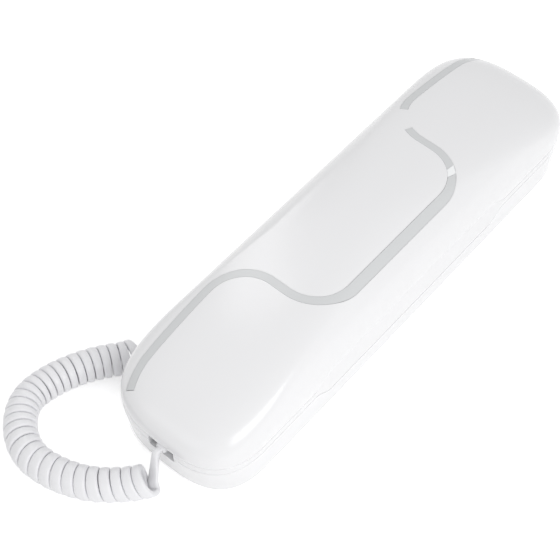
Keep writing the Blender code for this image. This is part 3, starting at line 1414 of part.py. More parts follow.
def least_gap(points, sections, ways):
    """The least distance between the tube's edges one curl apart."""
    least = 1.0
    for i in range(len(points) - POINTS_PER_CURL):
        for j in range(i + POINTS_PER_CURL - 2, min(i + POINTS_PER_CURL + 3, len(points))):
            edge_a = points[i] + ways[i] * (sections[i][0] / 2)
            edge_b = points[j] - ways[j] * (sections[j][0] / 2)
            least = min(least, (edge_b - edge_a).length)
    return least


def cord():
    """Coil, the two leads and the two plugs."""
    points, ways = coil_helix()
    sections = coil_sections(points, ways)
    new_object("cord_coil", band(points, sections, ways), CORD_WHITE)
    curls = (len(points) - 1) / POINTS_PER_CURL
    length = running_lengths(points)[-1]
    print(f"coil: {curls:.1f} curls, {length:.3f} m of cord, {len(points)} points")
    print(f"coil: least gap to itself {1000 * least_gap(points, sections, ways):.2f} mm")
    handset_lead(points, sections, ways)
    base_lead(points, sections, ways)
    cord_plugs()


def lead(name, controls, first_way, last_way, last_section):
    """A flat lead whose band turns from one way to another along its route."""
    route = smooth_route(controls, LEAD_STEP)
    ways, sections = [], []
    for i in range(len(route)):
        share = i / (len(route) - 1)
        ways.append(first_way.lerp(last_way, share))
        width = LEAD_WIDTH + (last_section[0] - LEAD_WIDTH) * share
        height = LEAD_THICKNESS + (last_section[1] - LEAD_THICKNESS) * share
        sections.append((width, height))
    new_object(name, band(route, sections, ways), CORD_WHITE)
    print(f"{name}: {running_lengths(route)[-1]:.4f} m")


def handset_tail():
    """Where the lead leaves the plug in the handset."""
    y = handset_jack_face_y() - PLUG_TAIL
    return Vector((NOTCH_X, y, handset_plug_z()))


def handset_lead(points, sections, ways):
    """Lead from the handset's plug to the coil's first end."""
    start = handset_tail() + Vector((0.0, -GAP, 0.0))
    back = (points[0] - points[1]).normalized()
    end = points[0] + back * GAP
    controls = [
        start,
        start + Vector((0.0, -LEAD_STRAIGHT, 0.0)),
        start.lerp(end, HANDSET_LEAD_MIDDLE) + HANDSET_LEAD_BOW,
        end + back * HANDSET_LEAD_TURN + HANDSET_LEAD_RISE,
        end + back * LEAD_STRAIGHT,
        end,
    ]
    lead("cord_lead_handset", controls, Vector((-1.0, 0.0, 0.0)), ways[0], sections[0])


def base_tail():
    """Where the lead leaves the plug in the base."""
    x = -HALF_WIDTH + JACK_FACE_INSET - PLUG_TAIL
    return Vector((x, CORD_JACK_Y, jack_middle_z()))


def base_lead(points, sections, ways):
    """Lead from the base's plug to the coil's last end."""
    start = base_tail() + Vector((-GAP, 0.0, 0.0))
    out = (points[-1] - points[-2]).normalized()
    end = points[-1] + out * GAP
    controls = [
        start,
        start + Vector((-LEAD_STRAIGHT, 0.0, 0.0)),
        start + BASE_LEAD_BOW,
        end + out * BASE_LEAD_TURN + BASE_LEAD_SIDE,
        end + out * LEAD_STRAIGHT,
        end,
    ]
    lead("cord_lead_base", controls, Vector((0.0, 1.0, 0.0)), ways[-1], sections[-1])


def plug(name, tail, inward):
    """A modular plug that points inward from its tail."""
    across = Vector((0.0, 0.0, 1.0)).cross(inward)
    front = PLUG_TAIL + PLUG_LENGTH - 2 * GAP
    half, rise = PLUG_WIDTH / 2, PLUG_HEIGHT / 2
    rings = []
    for distance, wide, high in (
        (0.0, half - TAIL_TAPER, rise - TAIL_TAPER / 2),
        (PLUG_TAIL / 2, half - TAIL_TAPER, rise - TAIL_TAPER / 2),
        (PLUG_TAIL, half, rise),
        (front - PLUG_NOSE, half, rise),
        (front, half - PLUG_NOSE / 4, rise - PLUG_NOSE / 4),
    ):
        centre = tail + inward * distance
        ring = [centre + across * (wide * side) + Vector((0.0, 0.0, high * up)) for side, up in CORNERS]
        rings.append(ring)
    new_object(name, lofted(rings), LAMP_CLEAR, tail)


def cord_plugs():
    """Plug in the handset and plug in the base."""
    plug("cord_plug_handset", handset_tail(), Vector((0.0, 1.0, 0.0)))
    plug("cord_plug_base", base_tail(), Vector((1.0, 0.0, 0.0)))


# =============================================================================
def build_base():
    """Everything that stays on the table or wall."""
    cradle_cover()
    rear_cover()
    rubber_feet()
    base_screws()
    base_circuit_board()
    jack("line_jack", LINE_JACK_Y, LINE_JACK_WIDTH, LINE_JACK_WIDTH - 2 * LINE_JACK_SIDE)
    jack("base_cord_jack", CORD_JACK_Y, CORD_JACK_WIDTH, CORD_JACK_CAVITY)
    hook_switch()
    hook_plunger()
    hook_spring()
    ballast_plate()
    ringer_disc()
    ringer_knob()


def build_handset():
    """Everything that lifts off."""
    front_shell()
    ribbon_inlay()
    ring_lamp()
    back_shell()
    keys()
    keypad_mat()
    handset_circuit_board()
    handset_weight()
    earpiece()
    microphone()
    handset_cord_jack()
    handset_screws()


def main():
    """Build the phone."""
    clear_scene()
    build_base()
    build_handset()
    cord()


main()
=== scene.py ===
"""Looks of the slimline wall phone: shells, ribbon, keys, fittings, curly cord and studio.

Metres, in the CAD model's own frame: the phone lies on its back on z = 0, its ear end
towards +Y. Each class builds one sub-assembly in place and hangs it on its CAD body.
"""

from __future__ import annotations

import logging
import math
from dataclasses import dataclass
from enum import Enum
from functools import lru_cache
from typing import Callable, Sequence

import bmesh
import bpy
from mathutils import Matrix, Vector

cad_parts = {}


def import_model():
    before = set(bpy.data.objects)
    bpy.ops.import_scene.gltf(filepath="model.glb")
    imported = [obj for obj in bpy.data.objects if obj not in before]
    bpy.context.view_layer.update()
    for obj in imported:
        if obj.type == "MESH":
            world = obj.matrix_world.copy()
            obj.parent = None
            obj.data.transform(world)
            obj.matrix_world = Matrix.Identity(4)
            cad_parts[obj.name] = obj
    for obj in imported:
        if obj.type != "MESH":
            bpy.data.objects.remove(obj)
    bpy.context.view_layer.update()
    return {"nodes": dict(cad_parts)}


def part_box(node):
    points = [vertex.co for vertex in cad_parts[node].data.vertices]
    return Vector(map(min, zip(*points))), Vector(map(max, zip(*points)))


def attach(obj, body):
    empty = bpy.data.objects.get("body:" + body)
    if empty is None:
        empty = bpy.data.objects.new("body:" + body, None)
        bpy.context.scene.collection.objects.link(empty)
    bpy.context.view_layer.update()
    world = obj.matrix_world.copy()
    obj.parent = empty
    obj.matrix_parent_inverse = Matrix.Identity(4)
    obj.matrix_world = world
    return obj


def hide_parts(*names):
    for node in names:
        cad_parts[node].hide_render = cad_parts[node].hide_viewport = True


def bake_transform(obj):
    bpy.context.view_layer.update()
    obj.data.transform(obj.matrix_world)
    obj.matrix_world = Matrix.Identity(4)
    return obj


LOG = logging.getLogger("wall_phone")

Point = tuple[float, float, float]
Plan = tuple[float, float]
Ring = list[Vector]

SMALL = 1e-6
SOFT_EDGE = math.radians(36)
# How many facets round an edge, and how far a cutter passes the surface that it cuts.
LIP_STEPS = 3
CUT = 0.002
UP = Vector((0.0, 0.0, 1.0))
WHITE = (1.0, 1.0, 1.0, 1.0)


# ---- finishes ----
class Grain(Enum):
    """How a finish varies over its surface."""

    MOULDED = "moulded"
    BRUSHED = "brushed"
    PRINTED = "printed"
    SPUN = "spun"


GRAIN_STRETCH: dict[Grain, Point] = {
    Grain.MOULDED: (1.0, 1.0, 1.0),
    Grain.BRUSHED: (1.0, 24.0, 24.0),
    Grain.PRINTED: (1.0, 1.0, 1.0),
    Grain.SPUN: (9.0, 9.0, 1.0),
}


@dataclass(frozen=True)
class Finish:
    """A procedural finish.

    Attributes:
        name: Name of the material.
        colour: Linear red, green and blue.
        roughness: Middle of the roughness.
        grain: The kind of variation.
        metallic: 0 for plastic, 1 for metal.
        mottle: Share by which the colour varies.
        mottle_scale: Colour features to the metre.
        polish: How far the roughness varies either way.
        relief: Height of the surface's texture.
        relief_scale: Texture features to the metre.
        clear: Share of light that passes through.
        bleed: Weight of light scattered under the surface.
        bleed_depth: How far that light travels.
        detail: Octaves of the noise.
        span: Where on the noise the colour turns from low to high.
        track_span: The same for printed tracks, which have crisp edges.
        polish_ratio: Scale of the roughness's variation, against the colour's.
        least_roughness: The shiniest that the surface gets.
    """

    name: str
    colour: tuple[float, float, float]
    roughness: float
    grain: Grain = Grain.MOULDED
    metallic: float = 0.0
    mottle: float = 0.012
    mottle_scale: float = 90.0
    polish: float = 0.03
    relief: float = 0.000004
    relief_scale: float = 1800.0
    clear: float = 0.0
    bleed: float = 0.0
    bleed_depth: float = 0.001
    detail: float = 3.0
    span: Plan = (0.3, 0.7)
    track_span: Plan = (0.55, 0.58)
    polish_ratio: float = 2.3
    least_roughness: float = 0.02

    def material(self) -> bpy.types.Material:
        """Build the node material, or give back the one already built.

        Returns:
            The material.
        """
        made = bpy.data.materials.get(self.name)
        if made:
            return made
        made = bpy.data.materials.new(self.name)
        made.use_nodes = True
        made.diffuse_color = (*self.colour, 1.0)
        tree = made.node_tree
        shader = tree.nodes["Principled BSDF"]
        shader.inputs["Metallic"].default_value = self.metallic
        shader.inputs["Transmission Weight"].default_value = self.clear
        shader.inputs["Subsurface Weight"].default_value = self.bleed
        shader.inputs["Subsurface Scale"].default_value = self.bleed_depth
        place = tree.nodes.new("ShaderNodeTexCoord")
        stretch = tree.nodes.new("ShaderNodeMapping")
        stretch.inputs["Scale"].default_value = GRAIN_STRETCH[self.grain]
        tree.links.new(place.outputs["Object"], stretch.inputs["Vector"])
        self._colour(tree, shader, stretch)
        self._polish(tree, shader, stretch)
        self._relief(tree, shader, stretch)
        return made

    def _noise(self, tree: bpy.types.NodeTree, stretch: bpy.types.Node, scale: float) -> bpy.types.Node:
        """A noise texture over the stretched coordinates.

        Args:
            tree: The nodes that it joins.
            stretch: Node that stretches the coordinates.
            scale: Features to the metre.

        Returns:
            The texture's node.
        """
        noise = tree.nodes.new("ShaderNodeTexNoise")
        noise.inputs["Scale"].default_value = scale
        noise.inputs["Detail"].default_value = self.detail
        tree.links.new(stretch.outputs["Vector"], noise.inputs["Vector"])
        return noise

    def _colour(self, tree: bpy.types.NodeTree, shader: bpy.types.Node, stretch: bpy.types.Node) -> None:
        """Vary the colour: soft clouds, or printed tracks on a board.

        Args:
            tree: The nodes that it joins.
            shader: The surface's shader.
            stretch: Node that stretches the coordinates.
        """
        ramp = tree.nodes.new("ShaderNodeValToRGB")
        low, high = ramp.color_ramp.elements
        low.position, high.position = self.span
        low.color = (*[c * (1 - self.mottle) for c in self.colour], 1.0)
        high.color = (*[min(1.0, c * (1 + self.mottle)) for c in self.colour], 1.0)
        if self.grain is Grain.PRINTED:
            cells = tree.nodes.new("ShaderNodeTexVoronoi")
            cells.distance = "CHEBYCHEV"
            cells.feature = "F2"
            cells.inputs["Scale"].default_value = self.mottle_scale
            tree.links.new(stretch.outputs["Vector"], cells.inputs["Vector"])
            low.position, high.position = self.track_span
            tree.links.new(cells.outputs["Distance"], ramp.inputs["Fac"])
        else:
            clouds = self._noise(tree, stretch, self.mottle_scale)
            tree.links.new(clouds.outputs["Fac"], ramp.inputs["Fac"])
        tree.links.new(ramp.outputs["Color"], shader.inputs["Base Color"])

    def _polish(self, tree: bpy.types.NodeTree, shader: bpy.types.Node, stretch: bpy.types.Node) -> None:
        """Vary the roughness.

        Args:
            tree: The nodes that it joins.
            shader: The surface's shader.
            stretch: Node that stretches the coordinates.
        """
        clouds = self._noise(tree, stretch, self.mottle_scale * self.polish_ratio)
        spread = tree.nodes.new("ShaderNodeMapRange")
        spread.inputs["To Min"].default_value = max(self.least_roughness, self.roughness - self.polish)
        spread.inputs["To Max"].default_value = min(1.0, self.roughness + self.polish)
        tree.links.new(clouds.outputs["Fac"], spread.inputs["Value"])
        tree.links.new(spread.outputs["Result"], shader.inputs["Roughness"])

    def _relief(self, tree: bpy.types.NodeTree, shader: bpy.types.Node, stretch: bpy.types.Node) -> None:
        """Raise the fine texture.

        Args:
            tree: The nodes that it joins.
            shader: The surface's shader.
            stretch: Node that stretches the coordinates.
        """
        fine = self._noise(tree, stretch, self.relief_scale)
        bump = tree.nodes.new("ShaderNodeBump")
        bump.inputs["Strength"].default_value = 1.0
        bump.inputs["Distance"].default_value = self.relief
        tree.links.new(fine.outputs["Fac"], bump.inputs["Height"])
        tree.links.new(bump.outputs["Normal"], shader.inputs["Normal"])


SHELL_WHITE = Finish("shell_white", (0.80, 0.80, 0.81), 0.2, relief=0.000003, bleed=0.05)
SATIN_WHITE = Finish("satin_white", (0.76, 0.76, 0.77), 0.42, relief=0.000012, relief_scale=3200)
SEAM_SHADE = Finish("seam_shade", (0.16, 0.16, 0.17), 0.6, mottle=0.05)
RIBBON_GREY = Finish("ribbon_grey", (0.62, 0.625, 0.63), 0.25, metallic=0.2, mottle=0.02)
LAMP_CLEAR = Finish("clear", (0.93, 0.94, 0.95), 0.15, mottle=0.01, clear=0.08, bleed=0.3)
PLUG_CLEAR = Finish("plug_clear", (0.90, 0.92, 0.94), 0.08, mottle=0.01, clear=0.75)
CORD_WHITE = Finish("cord_white", (0.87, 0.87, 0.88), 0.3, mottle=0.01, relief=0.000008, bleed=0.1)
KEY_GREY = Finish("key_grey", (0.60, 0.61, 0.63), 0.45, mottle=0.02, relief=0.000014, relief_scale=3500)
LEGEND_DARK = Finish("legend_dark", (0.10, 0.10, 0.11), 0.5, mottle=0.05)
RUBBER_GREY = Finish("rubber_grey", (0.16, 0.16, 0.17), 0.75, mottle=0.06, relief=0.00003)
BOARD_GREEN = Finish("board_green", (0.03, 0.16, 0.07), 0.4, Grain.PRINTED, mottle=0.35, mottle_scale=420)
STEEL = Finish("steel", (0.56, 0.56, 0.58), 0.32, Grain.BRUSHED, 1.0, mottle=0.05, mottle_scale=60)
TURNED_STEEL = Finish("turned_steel", (0.55, 0.55, 0.57), 0.3, Grain.SPUN, 1.0, mottle=0.06)
DARK_PLASTIC = Finish("dark_plastic", (0.035, 0.035, 0.04), 0.42, mottle=0.08, relief=0.000012)
BRASS = Finish("brass", (0.70, 0.52, 0.22), 0.3, Grain.SPUN, 1.0, mottle=0.05)
GOLD = Finish("contact_gold", (0.85, 0.62, 0.25), 0.2, Grain.BRUSHED, 1.0, mottle=0.03)
FLOOR_WHITE = Finish("floor_white", (0.9, 0.9, 0.9), 0.7, mottle=0.002, relief=0.0)


# ---- mesh tools ----
class Joining(Enum):
    """How two bodies are joined."""

    ADDED = "UNION"
    CUT_OUT = "DIFFERENCE"


def skin(bm: bmesh.types.BMesh, rings: Sequence[Sequence[Point]]) -> list[list[bmesh.types.BMVert]]:
    """Add faces through rings of equal length and give back the rows of vertices.

    Args:
        bm: The mesh that gets them.
        rings: Rings of equal length, in order.

    Returns:
        The vertices, a row to each ring.
    """
    rows = [[bm.verts.new(point) for point in ring] for ring in rings]
    for lower, upper in zip(rows, rows[1:]):
        for i in range(len(lower)):
            j = (i + 1) % len(lower)
            bm.faces.new((lower[i], lower[j], upper[j], upper[i]))
    return rows


def lofted(rings: Sequence[Sequence[Point]]) -> bmesh.types.BMesh:
    """A closed body through rings, with each end filled by one face.

    Args:
        rings: Rings of equal length, in order.

    Returns:
        The body's mesh.
    """
    bm = bmesh.new()
    rows = skin(bm, rings)
    bm.faces.new(list(reversed(rows[0])))
    bm.faces.new(rows[-1])
    return bm


def tray(rings: Sequence[Sequence[Point]]) -> bmesh.types.BMesh:
    """A closed body through rings that are mirrored about X = 0, with strips across its ends.

    Args:
        rings: Rings of equal length, in order.

    Returns:
        The body's mesh.
    """
    bm = bmesh.new()
    rows = skin(bm, rings)
    for row in (rows[0], rows[-1]):
        for i in range(len(row) // 2 - 1):
            bm.faces.new((row[i], row[i + 1], row[-2 - i], row[-1 - i]))
    return bm


def block(low: Point, high: Point) -> bmesh.types.BMesh:
    """A rectangular body between two corners, for cuts.

    Args:
        low: The lowest corner.
        high: The highest corner.

    Returns:
        The body's mesh.
    """
    bm = bmesh.new()
    size = Vector(high) - Vector(low)
    centre = (Vector(high) + Vector(low)) / 2
    place = Matrix.Translation(centre) @ Matrix.Diagonal((*size, 1.0))
    bmesh.ops.create_cube(bm, size=1.0, matrix=place)
    return bm


def turned(centre: Plan, stations: Sequence[Plan], sides: int = 48) -> bmesh.types.BMesh:
    """A body turned about Z through (radius, z) stations, from low to high.

    Args:
        centre: Its middle on plan.
        stations: Radius and height, from low to high.
        sides: How many sides it has.

    Returns:
        The body's mesh.
    """
    rings = []
    for radius, z in stations:
        turn = [2 * math.pi * i / sides for i in range(sides)]
        rings.append(
            [(centre[0] + radius * math.cos(a), centre[1] + radius * math.sin(a), z) for a in turn]
        )
    return lofted(rings)


def rounded(centre: Plan, half_width: float, half_length: float, power: float, steps: int) -> list[Plan]:
    """Points of an oval that is squarer as the power is higher.

    Args:
        centre: Its middle on plan.
        half_width: Half of its width.
        half_length: Half of its length.
        power: How square it is: 2 is an oval.
        steps: How many points it has.

    Returns:
        The points, in order.
    """
    points = []
    for i in range(steps):
        angle = 2 * math.pi * (i + 0.5) / steps
        across = math.copysign(abs(math.cos(angle)) ** (2 / power), math.cos(angle))
        along = math.copysign(abs(math.sin(angle)) ** (2 / power), math.sin(angle))
        points.append((centre[0] + across * half_width, centre[1] + along * half_length))
    return points


def pillow(low: Point, high: Point, power: float, edge: float, steps: int) -> bmesh.types.BMesh:
    """A rounded rectangular body with soft edges, lofted along Z.

    Args:
        low: The lowest corner.
        high: The highest corner.
        power: How square it is: 2 is an oval.
        edge: Radius of its edges.
        steps: How many points go round it.

    Returns:
        The body's mesh.
    """
    centre = ((low[0] + high[0]) / 2, (low[1] + high[1]) / 2)
    half = ((high[0] - low[0]) / 2, (high[1] - low[1]) / 2)
    rings = []
    for inset, z in lip(low[2], edge) + lip(high[2], -edge)[::-1]:
        ring = rounded(centre, half[0] - inset, half[1] - inset, power, steps)
        rings.append([(x, y, z) for x, y in ring])
    return lofted(rings)


def lip(z: float, radius: float) -> list[Plan]:
    """Inset and height of the points that round an edge; the sign of the radius is the way inwards.

    Args:
        z: Height of the edge.
        radius: Radius of the rounding, below zero at an upper edge.

    Returns:
        Inset and height of each point.
    """
    size = abs(radius)
    points = []
    for i in range(LIP_STEPS + 1):
        angle = math.pi / 2 * i / LIP_STEPS
        points.append((size * (1 - math.sin(angle)), z + radius * (1 - math.cos(angle))))
    return points


def gathered(parts: Sequence[bmesh.types.BMesh]) -> bmesh.types.BMesh:
    """One bmesh of several; the parts are used up.

    Args:
        parts: The meshes to join.

    Returns:
        The joined mesh.
    """
    whole = bmesh.new()
    for part in parts:
        bmesh.ops.recalc_face_normals(part, faces=part.faces)
        mesh = bpy.data.meshes.new("part")
        part.to_mesh(mesh)
        part.free()
        whole.from_mesh(mesh)
        bpy.data.meshes.remove(mesh)
    return whole


def piece(name: str, bm: bmesh.types.BMesh, finish: Finish) -> bpy.types.Object:
    """An object from a bmesh in the CAD frame, smooth apart from its edges.

    Args:
        name: Name of the piece.
        bm: Its mesh, which is used up.
        finish: Its finish.

    Returns:
        The new object.
    """
    bmesh.ops.recalc_face_normals(bm, faces=bm.faces)
    mesh = bpy.data.meshes.new(name)
    bm.to_mesh(mesh)
    bm.free()
    obj = bpy.data.objects.new(name, mesh)
    mesh.materials.append(finish.material())
    bpy.context.scene.collection.objects.link(obj)
    soften(obj)
    return obj


def soften(obj: bpy.types.Object, angle: float = SOFT_EDGE) -> None:
    """Shade an object smooth between its sharp edges."""
    obj.data.shade_smooth()
    obj.data.set_sharp_from_angle(angle=angle)


def baked(obj: bpy.types.Object) -> bpy.types.Object:
    """Apply an object's modifiers.

    Args:
        obj: The object.

    Returns:
        The same object.
    """
    graph = bpy.context.evaluated_depsgraph_get()
    mesh = bpy.data.meshes.new_from_object(
        obj.evaluated_get(graph), preserve_all_data_layers=True, depsgraph=graph
    )
    old = obj.data
    obj.modifiers.clear()
    obj.data = mesh
    mesh.name = obj.name
    bpy.data.meshes.remove(old)
    return obj


def combine(
    obj: bpy.types.Object, parts: Sequence[bmesh.types.BMesh], operation: Joining
) -> bpy.types.Object:
    """Apply an exact Boolean with several separate bodies at once.

    Args:
        obj: The object.
        parts: The other bodies, which are used up.
        operation: Whether they are added or cut out.

    Returns:
        The same object.
    """
    other = piece("tool", gathered(parts), SEAM_SHADE)
    modifier = obj.modifiers.new("shape", "BOOLEAN")
    modifier.operation = operation.value
    modifier.solver = "EXACT"
    modifier.object = other
    baked(obj)
    bpy.data.objects.remove(other, do_unlink=True)
    soften(obj)
    return obj


def merged(first: bmesh.types.BMesh, second: bmesh.types.BMesh) -> bmesh.types.BMesh:
    """The union of two overlapping cutters.

    Args:
        first: The one.
        second: The other.

    Returns:
        The union's mesh.
    """
    tool = piece("merged", first, SEAM_SHADE)
    combine(tool, [second], Joining.ADDED)
    bm = bmesh.new()
    bm.from_mesh(tool.data)
    bpy.data.objects.remove(tool, do_unlink=True)
    return bm


def weighted(obj: bpy.types.Object) -> bpy.types.Object:
    """Let large faces keep flat shading beside small rounded edges.

    Args:
        obj: The object.

    Returns:
        The same object.
    """
    modifier = obj.modifiers.new("weights", "WEIGHTED_NORMAL")
    modifier.keep_sharp = True
    return baked(obj)


def normals_from(obj: bpy.types.Object, donor: bpy.types.Object, reach: float = 0.00003) -> bpy.types.Object:
    """Take the shading of an uncut surface, so that cuts leave no marks on it; the donor is removed.

    Args:
        obj: The object.
        donor: The uncut surface.
        reach: How far off the donor's surface it still reads.

    Returns:
        The same object.
    """
    modifier = obj.modifiers.new("shading", "DATA_TRANSFER")
    modifier.object = donor
    modifier.use_loop_data = True
    modifier.data_types_loops = {"CUSTOM_NORMAL"}
    modifier.loop_mapping = "POLYINTERP_NEAREST"
    modifier.use_max_distance = True
    modifier.max_distance = reach
    baked(obj)
    bpy.data.objects.remove(donor, do_unlink=True)
    return obj


def eased(share: float) -> float:
    """0 to 1 with a smooth start and finish."""
    return share * share * (3 - 2 * share)


def within(share: float) -> float:
    """A share held between 0 and 1."""
    return max(0.0, min(1.0, share))


def steps_of(count: int) -> list[float]:
    """Even shares from 0 to 1."""
    return [i / count for i in range(count + 1)]


def settle(obj: bpy.types.Object, body: str, slot: str, *nodes: str) -> bpy.types.Object:
    """Hang a piece on its body and hide the CAD nodes that it stands for.

    Args:
        obj: The object.
        body: The body that carries it.
        slot: Name of its finish; not used.
        nodes: The CAD nodes that it stands for.

    Returns:
        The same object.
    """
    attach(obj, body)
    if nodes:
        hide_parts(*nodes)
    return obj


# ---- form of the phone ----
@dataclass(frozen=True)
class Form:
    """Outline, seams and crown of the phone, as in the CAD model."""

    half_length: float = 0.105
    half_width: float = 0.02825
    end_length: float = 0.0254
    end_power: float = 2.87
    end_steps: int = 24
    end_share: float = 0.98
    fineness: int = 4
    loose_from: float = 0.975
    loose_over: float = 0.3
    wall: float = 0.002
    floor: float = 0.002
    middle_floor: float = 0.0032
    gap: float = 0.0003
    foot_z: float = 0.0006
    inside_z: float = 0.0026
    base_seam_z: float = 0.0146
    shell_seam_z: float = 0.0182
    crown_height: float = 0.0248
    side_power: float = 2.83
    arch_power: float = 1.5
    arch_ease: float = 0.010
    grip_flat: float = 0.047
    grip_ramp: float = 0.008
    grip_drop: float = 0.0049
    grip_rise: float = 0.0044
    grip_depth: float = 0.0012
    grip_low_depth: float = 0.0002
    foot_inset_x: float = 0.0004
    foot_inset_y: float = 0.0017
    quarters: Point = (0.25, 0.5, 0.75)
    ramp_steps: int = 10
    halvings: int = 26
    slope_step: float = 0.0004
    crown_last: float = 0.9995
    crown_crowding: float = 2.3

    @property
    def grip_end(self) -> float:
        """Half length of the grip with its ramps."""
        return self.grip_flat + self.grip_ramp

    def stations(self) -> list[float]:
        """Where the long side has points on the full outline.

        Returns:
            Distances from the phone's middle.
        """
        straight = self.half_length - self.end_length
        flat = [self.grip_flat * share for share in self.quarters]
        ramp = [self.grip_flat + self.grip_ramp * share for share in steps_of(self.ramp_steps)]
        past = [self.grip_end + (straight - self.grip_end) * share for share in self.quarters]
        return flat + ramp + past

    def _fine_quarter(self, half_width: float, half_length: float) -> tuple[list[Plan], list[float]]:
        """Closely spaced points from the middle of the right side to the end, and how far along each lies.

        Args:
            half_width: Half of its width.
            half_length: Half of its length.

        Returns:
            The points, and the distance along them.
        """
        end = min(self.end_length, half_length * self.end_share)
        straight = half_length - end
        scale = min(1.0, straight / (self.half_length - self.end_length))
        points = [(half_width, 0.0)] + [(half_width, y * scale) for y in self.stations()]
        for i in range(self.fineness * self.end_steps + 1):
            angle = math.pi / 2 * i / (self.fineness * (self.end_steps + 0.5))
            across = half_width * math.cos(angle) ** (2 / self.end_power)
            points.append((across, straight + end * math.sin(angle) ** (2 / self.end_power)))
        along = [0.0]
        for before, after in zip(points, points[1:]):
            along.append(along[-1] + math.dist(before, after))
        return points, along

    @lru_cache(maxsize=None)
    def _shares(self) -> tuple[float, ...]:
        """How far along the full outline's quarter each of its points lies.

        Returns:
            A share for each point.
        """
        along = self._fine_quarter(self.half_width, self.half_length)[1]
        first = len(self.stations()) + 1
        return tuple(distance / along[-1] for distance in along[1:first] + along[first :: self.fineness])

    @lru_cache(maxsize=4096)
    def _quarter(self, half_width: float, half_length: float) -> tuple[Plan, ...]:
        """A quarter of the outline, whose points spread out evenly where the ring is much shorter.

        Args:
            half_width: Half of its width.
            half_length: Half of its length.

        Returns:
            The points, from the side to the end.
        """
        points, along = self._fine_quarter(half_width, half_length)
        first = len(self.stations()) + 1
        own = along[1:first] + along[first :: self.fineness]
        loose = eased(within((self.loose_from - half_length / self.half_length) / self.loose_over))
        quarter = []
        i = 1
        for distance, share in zip(own, self._shares()):
            wanted = distance + (share * along[-1] - distance) * loose
            while i < len(along) - 1 and along[i] < wanted:
                i += 1
            part = (wanted - along[i - 1]) / max(along[i] - along[i - 1], SMALL)
            (ax, ay), (bx, by) = points[i - 1], points[i]
            quarter.append((ax + (bx - ax) * part, ay + (by - ay) * part))
        return tuple(quarter)

    def outline(self, half_width: float, half_length: float) -> list[Plan]:
        """Points round the outline, mirrored about both axes.

        Args:
            half_width: Half of its width.
            half_length: Half of its length.

        Returns:
            The points, in order.
        """
        quarter = list(self._quarter(half_width, half_length))
        right = [(x, -y) for x, y in reversed(quarter)] + quarter
        return right + [(-x, y) for x, y in reversed(right)]

    def ramp(self, y: float) -> float:
        """1 within the grip's straight stretch, 0 past its ramps."""
        return eased(within((self.grip_end - abs(y)) / self.grip_ramp))

    def base_seam(self, y: float) -> float:
        """Height of the seam between base and handset."""
        return self.base_seam_z - self.grip_drop * self.ramp(y)

    def shell_seam(self, y: float) -> float:
        """Height of the seam between the handset's shells."""
        return self.shell_seam_z + self.grip_rise * self.ramp(y)

    def cradle_top(self, y: float) -> float:
        """Upper face of the base."""
        return self.base_seam(y) - self.gap / 2

    def cradle_underside(self, y: float) -> float:
        """Lower face of the base's floor."""
        return self.cradle_top(y) - self.floor - (self.middle_floor - self.floor) * self.ramp(y)

    def plate(self, y: float) -> float:
        """Outer face of the handset's inner plate."""
        return self.base_seam(y) + self.gap / 2

    def plate_inside(self, y: float) -> float:
        """Inner face of that plate."""
        return self.plate(y) + self.floor

    def rim(self, y: float) -> float:
        """Upper edge of the handset's back shell."""
        return self.shell_seam(y) - self.gap / 2

    def crown_size(self, share: float, wall: float) -> Point:
        """Half width, half length and height of the crown's ring at a share of its height.

        Args:
            share: Share of the crown's height.
            wall: How far inside the skin it lies.

        Returns:
            Half width, half length and height.
        """
        left = max(1.0 - share**self.side_power, 0.0)
        half_width = (self.half_width - wall) * left ** (1 / self.side_power)
        ease = self.arch_ease**self.arch_power
        full = (self.half_length**2 + self.arch_ease**2) ** (self.arch_power / 2) - ease
        squared = (full * left + ease) ** (2 / self.arch_power) - self.arch_ease**2
        half_length = math.sqrt(max(squared, 0.0))
        half_length *= (self.half_length - wall) / self.half_length
        return half_width, half_length, self.shell_seam_z + (self.crown_height - wall) * share

    def crown_share(self, x: float, y: float) -> float:
        """The share of the crown's height at which its skin passes over a place.

        Args:
            x: Place across the phone.
            y: Place along the phone.

        Returns:
            The share.
        """
        low, high = 0.0, 1.0
        for _ in range(self.halvings):
            share = (low + high) / 2
            half_width, half_length, _ = self.crown_size(share, 0.0)
            end = min(self.end_length, half_length * self.end_share)
            past = max(0.0, abs(y) - (half_length - end)) / max(end, SMALL)
            across = abs(x) / max(half_width, SMALL)
            if across**self.end_power + past**self.end_power <= 1.0:
                low = share
            else:
                high = share
        return low

    def crown_z(self, x: float, y: float) -> float:
        """Height of the front shell's skin over a place."""
        return self.shell_seam_z + self.crown_height * self.crown_share(x, y)

    def crown_point(self, x: float, y: float) -> tuple[Vector, Vector]:
        """A point of the front shell's skin and its outward direction.

        Args:
            x: Place across the phone.
            y: Place along the phone.

        Returns:
            The point and the direction.
        """
        step = self.slope_step
        slope_x = (self.crown_z(x + step, y) - self.crown_z(x - step, y)) / (2 * step)
        slope_y = (self.crown_z(x, y + step) - self.crown_z(x, y - step)) / (2 * step)
        return Vector((x, y, self.crown_z(x, y))), Vector((-slope_x, -slope_y, 1.0)).normalized()

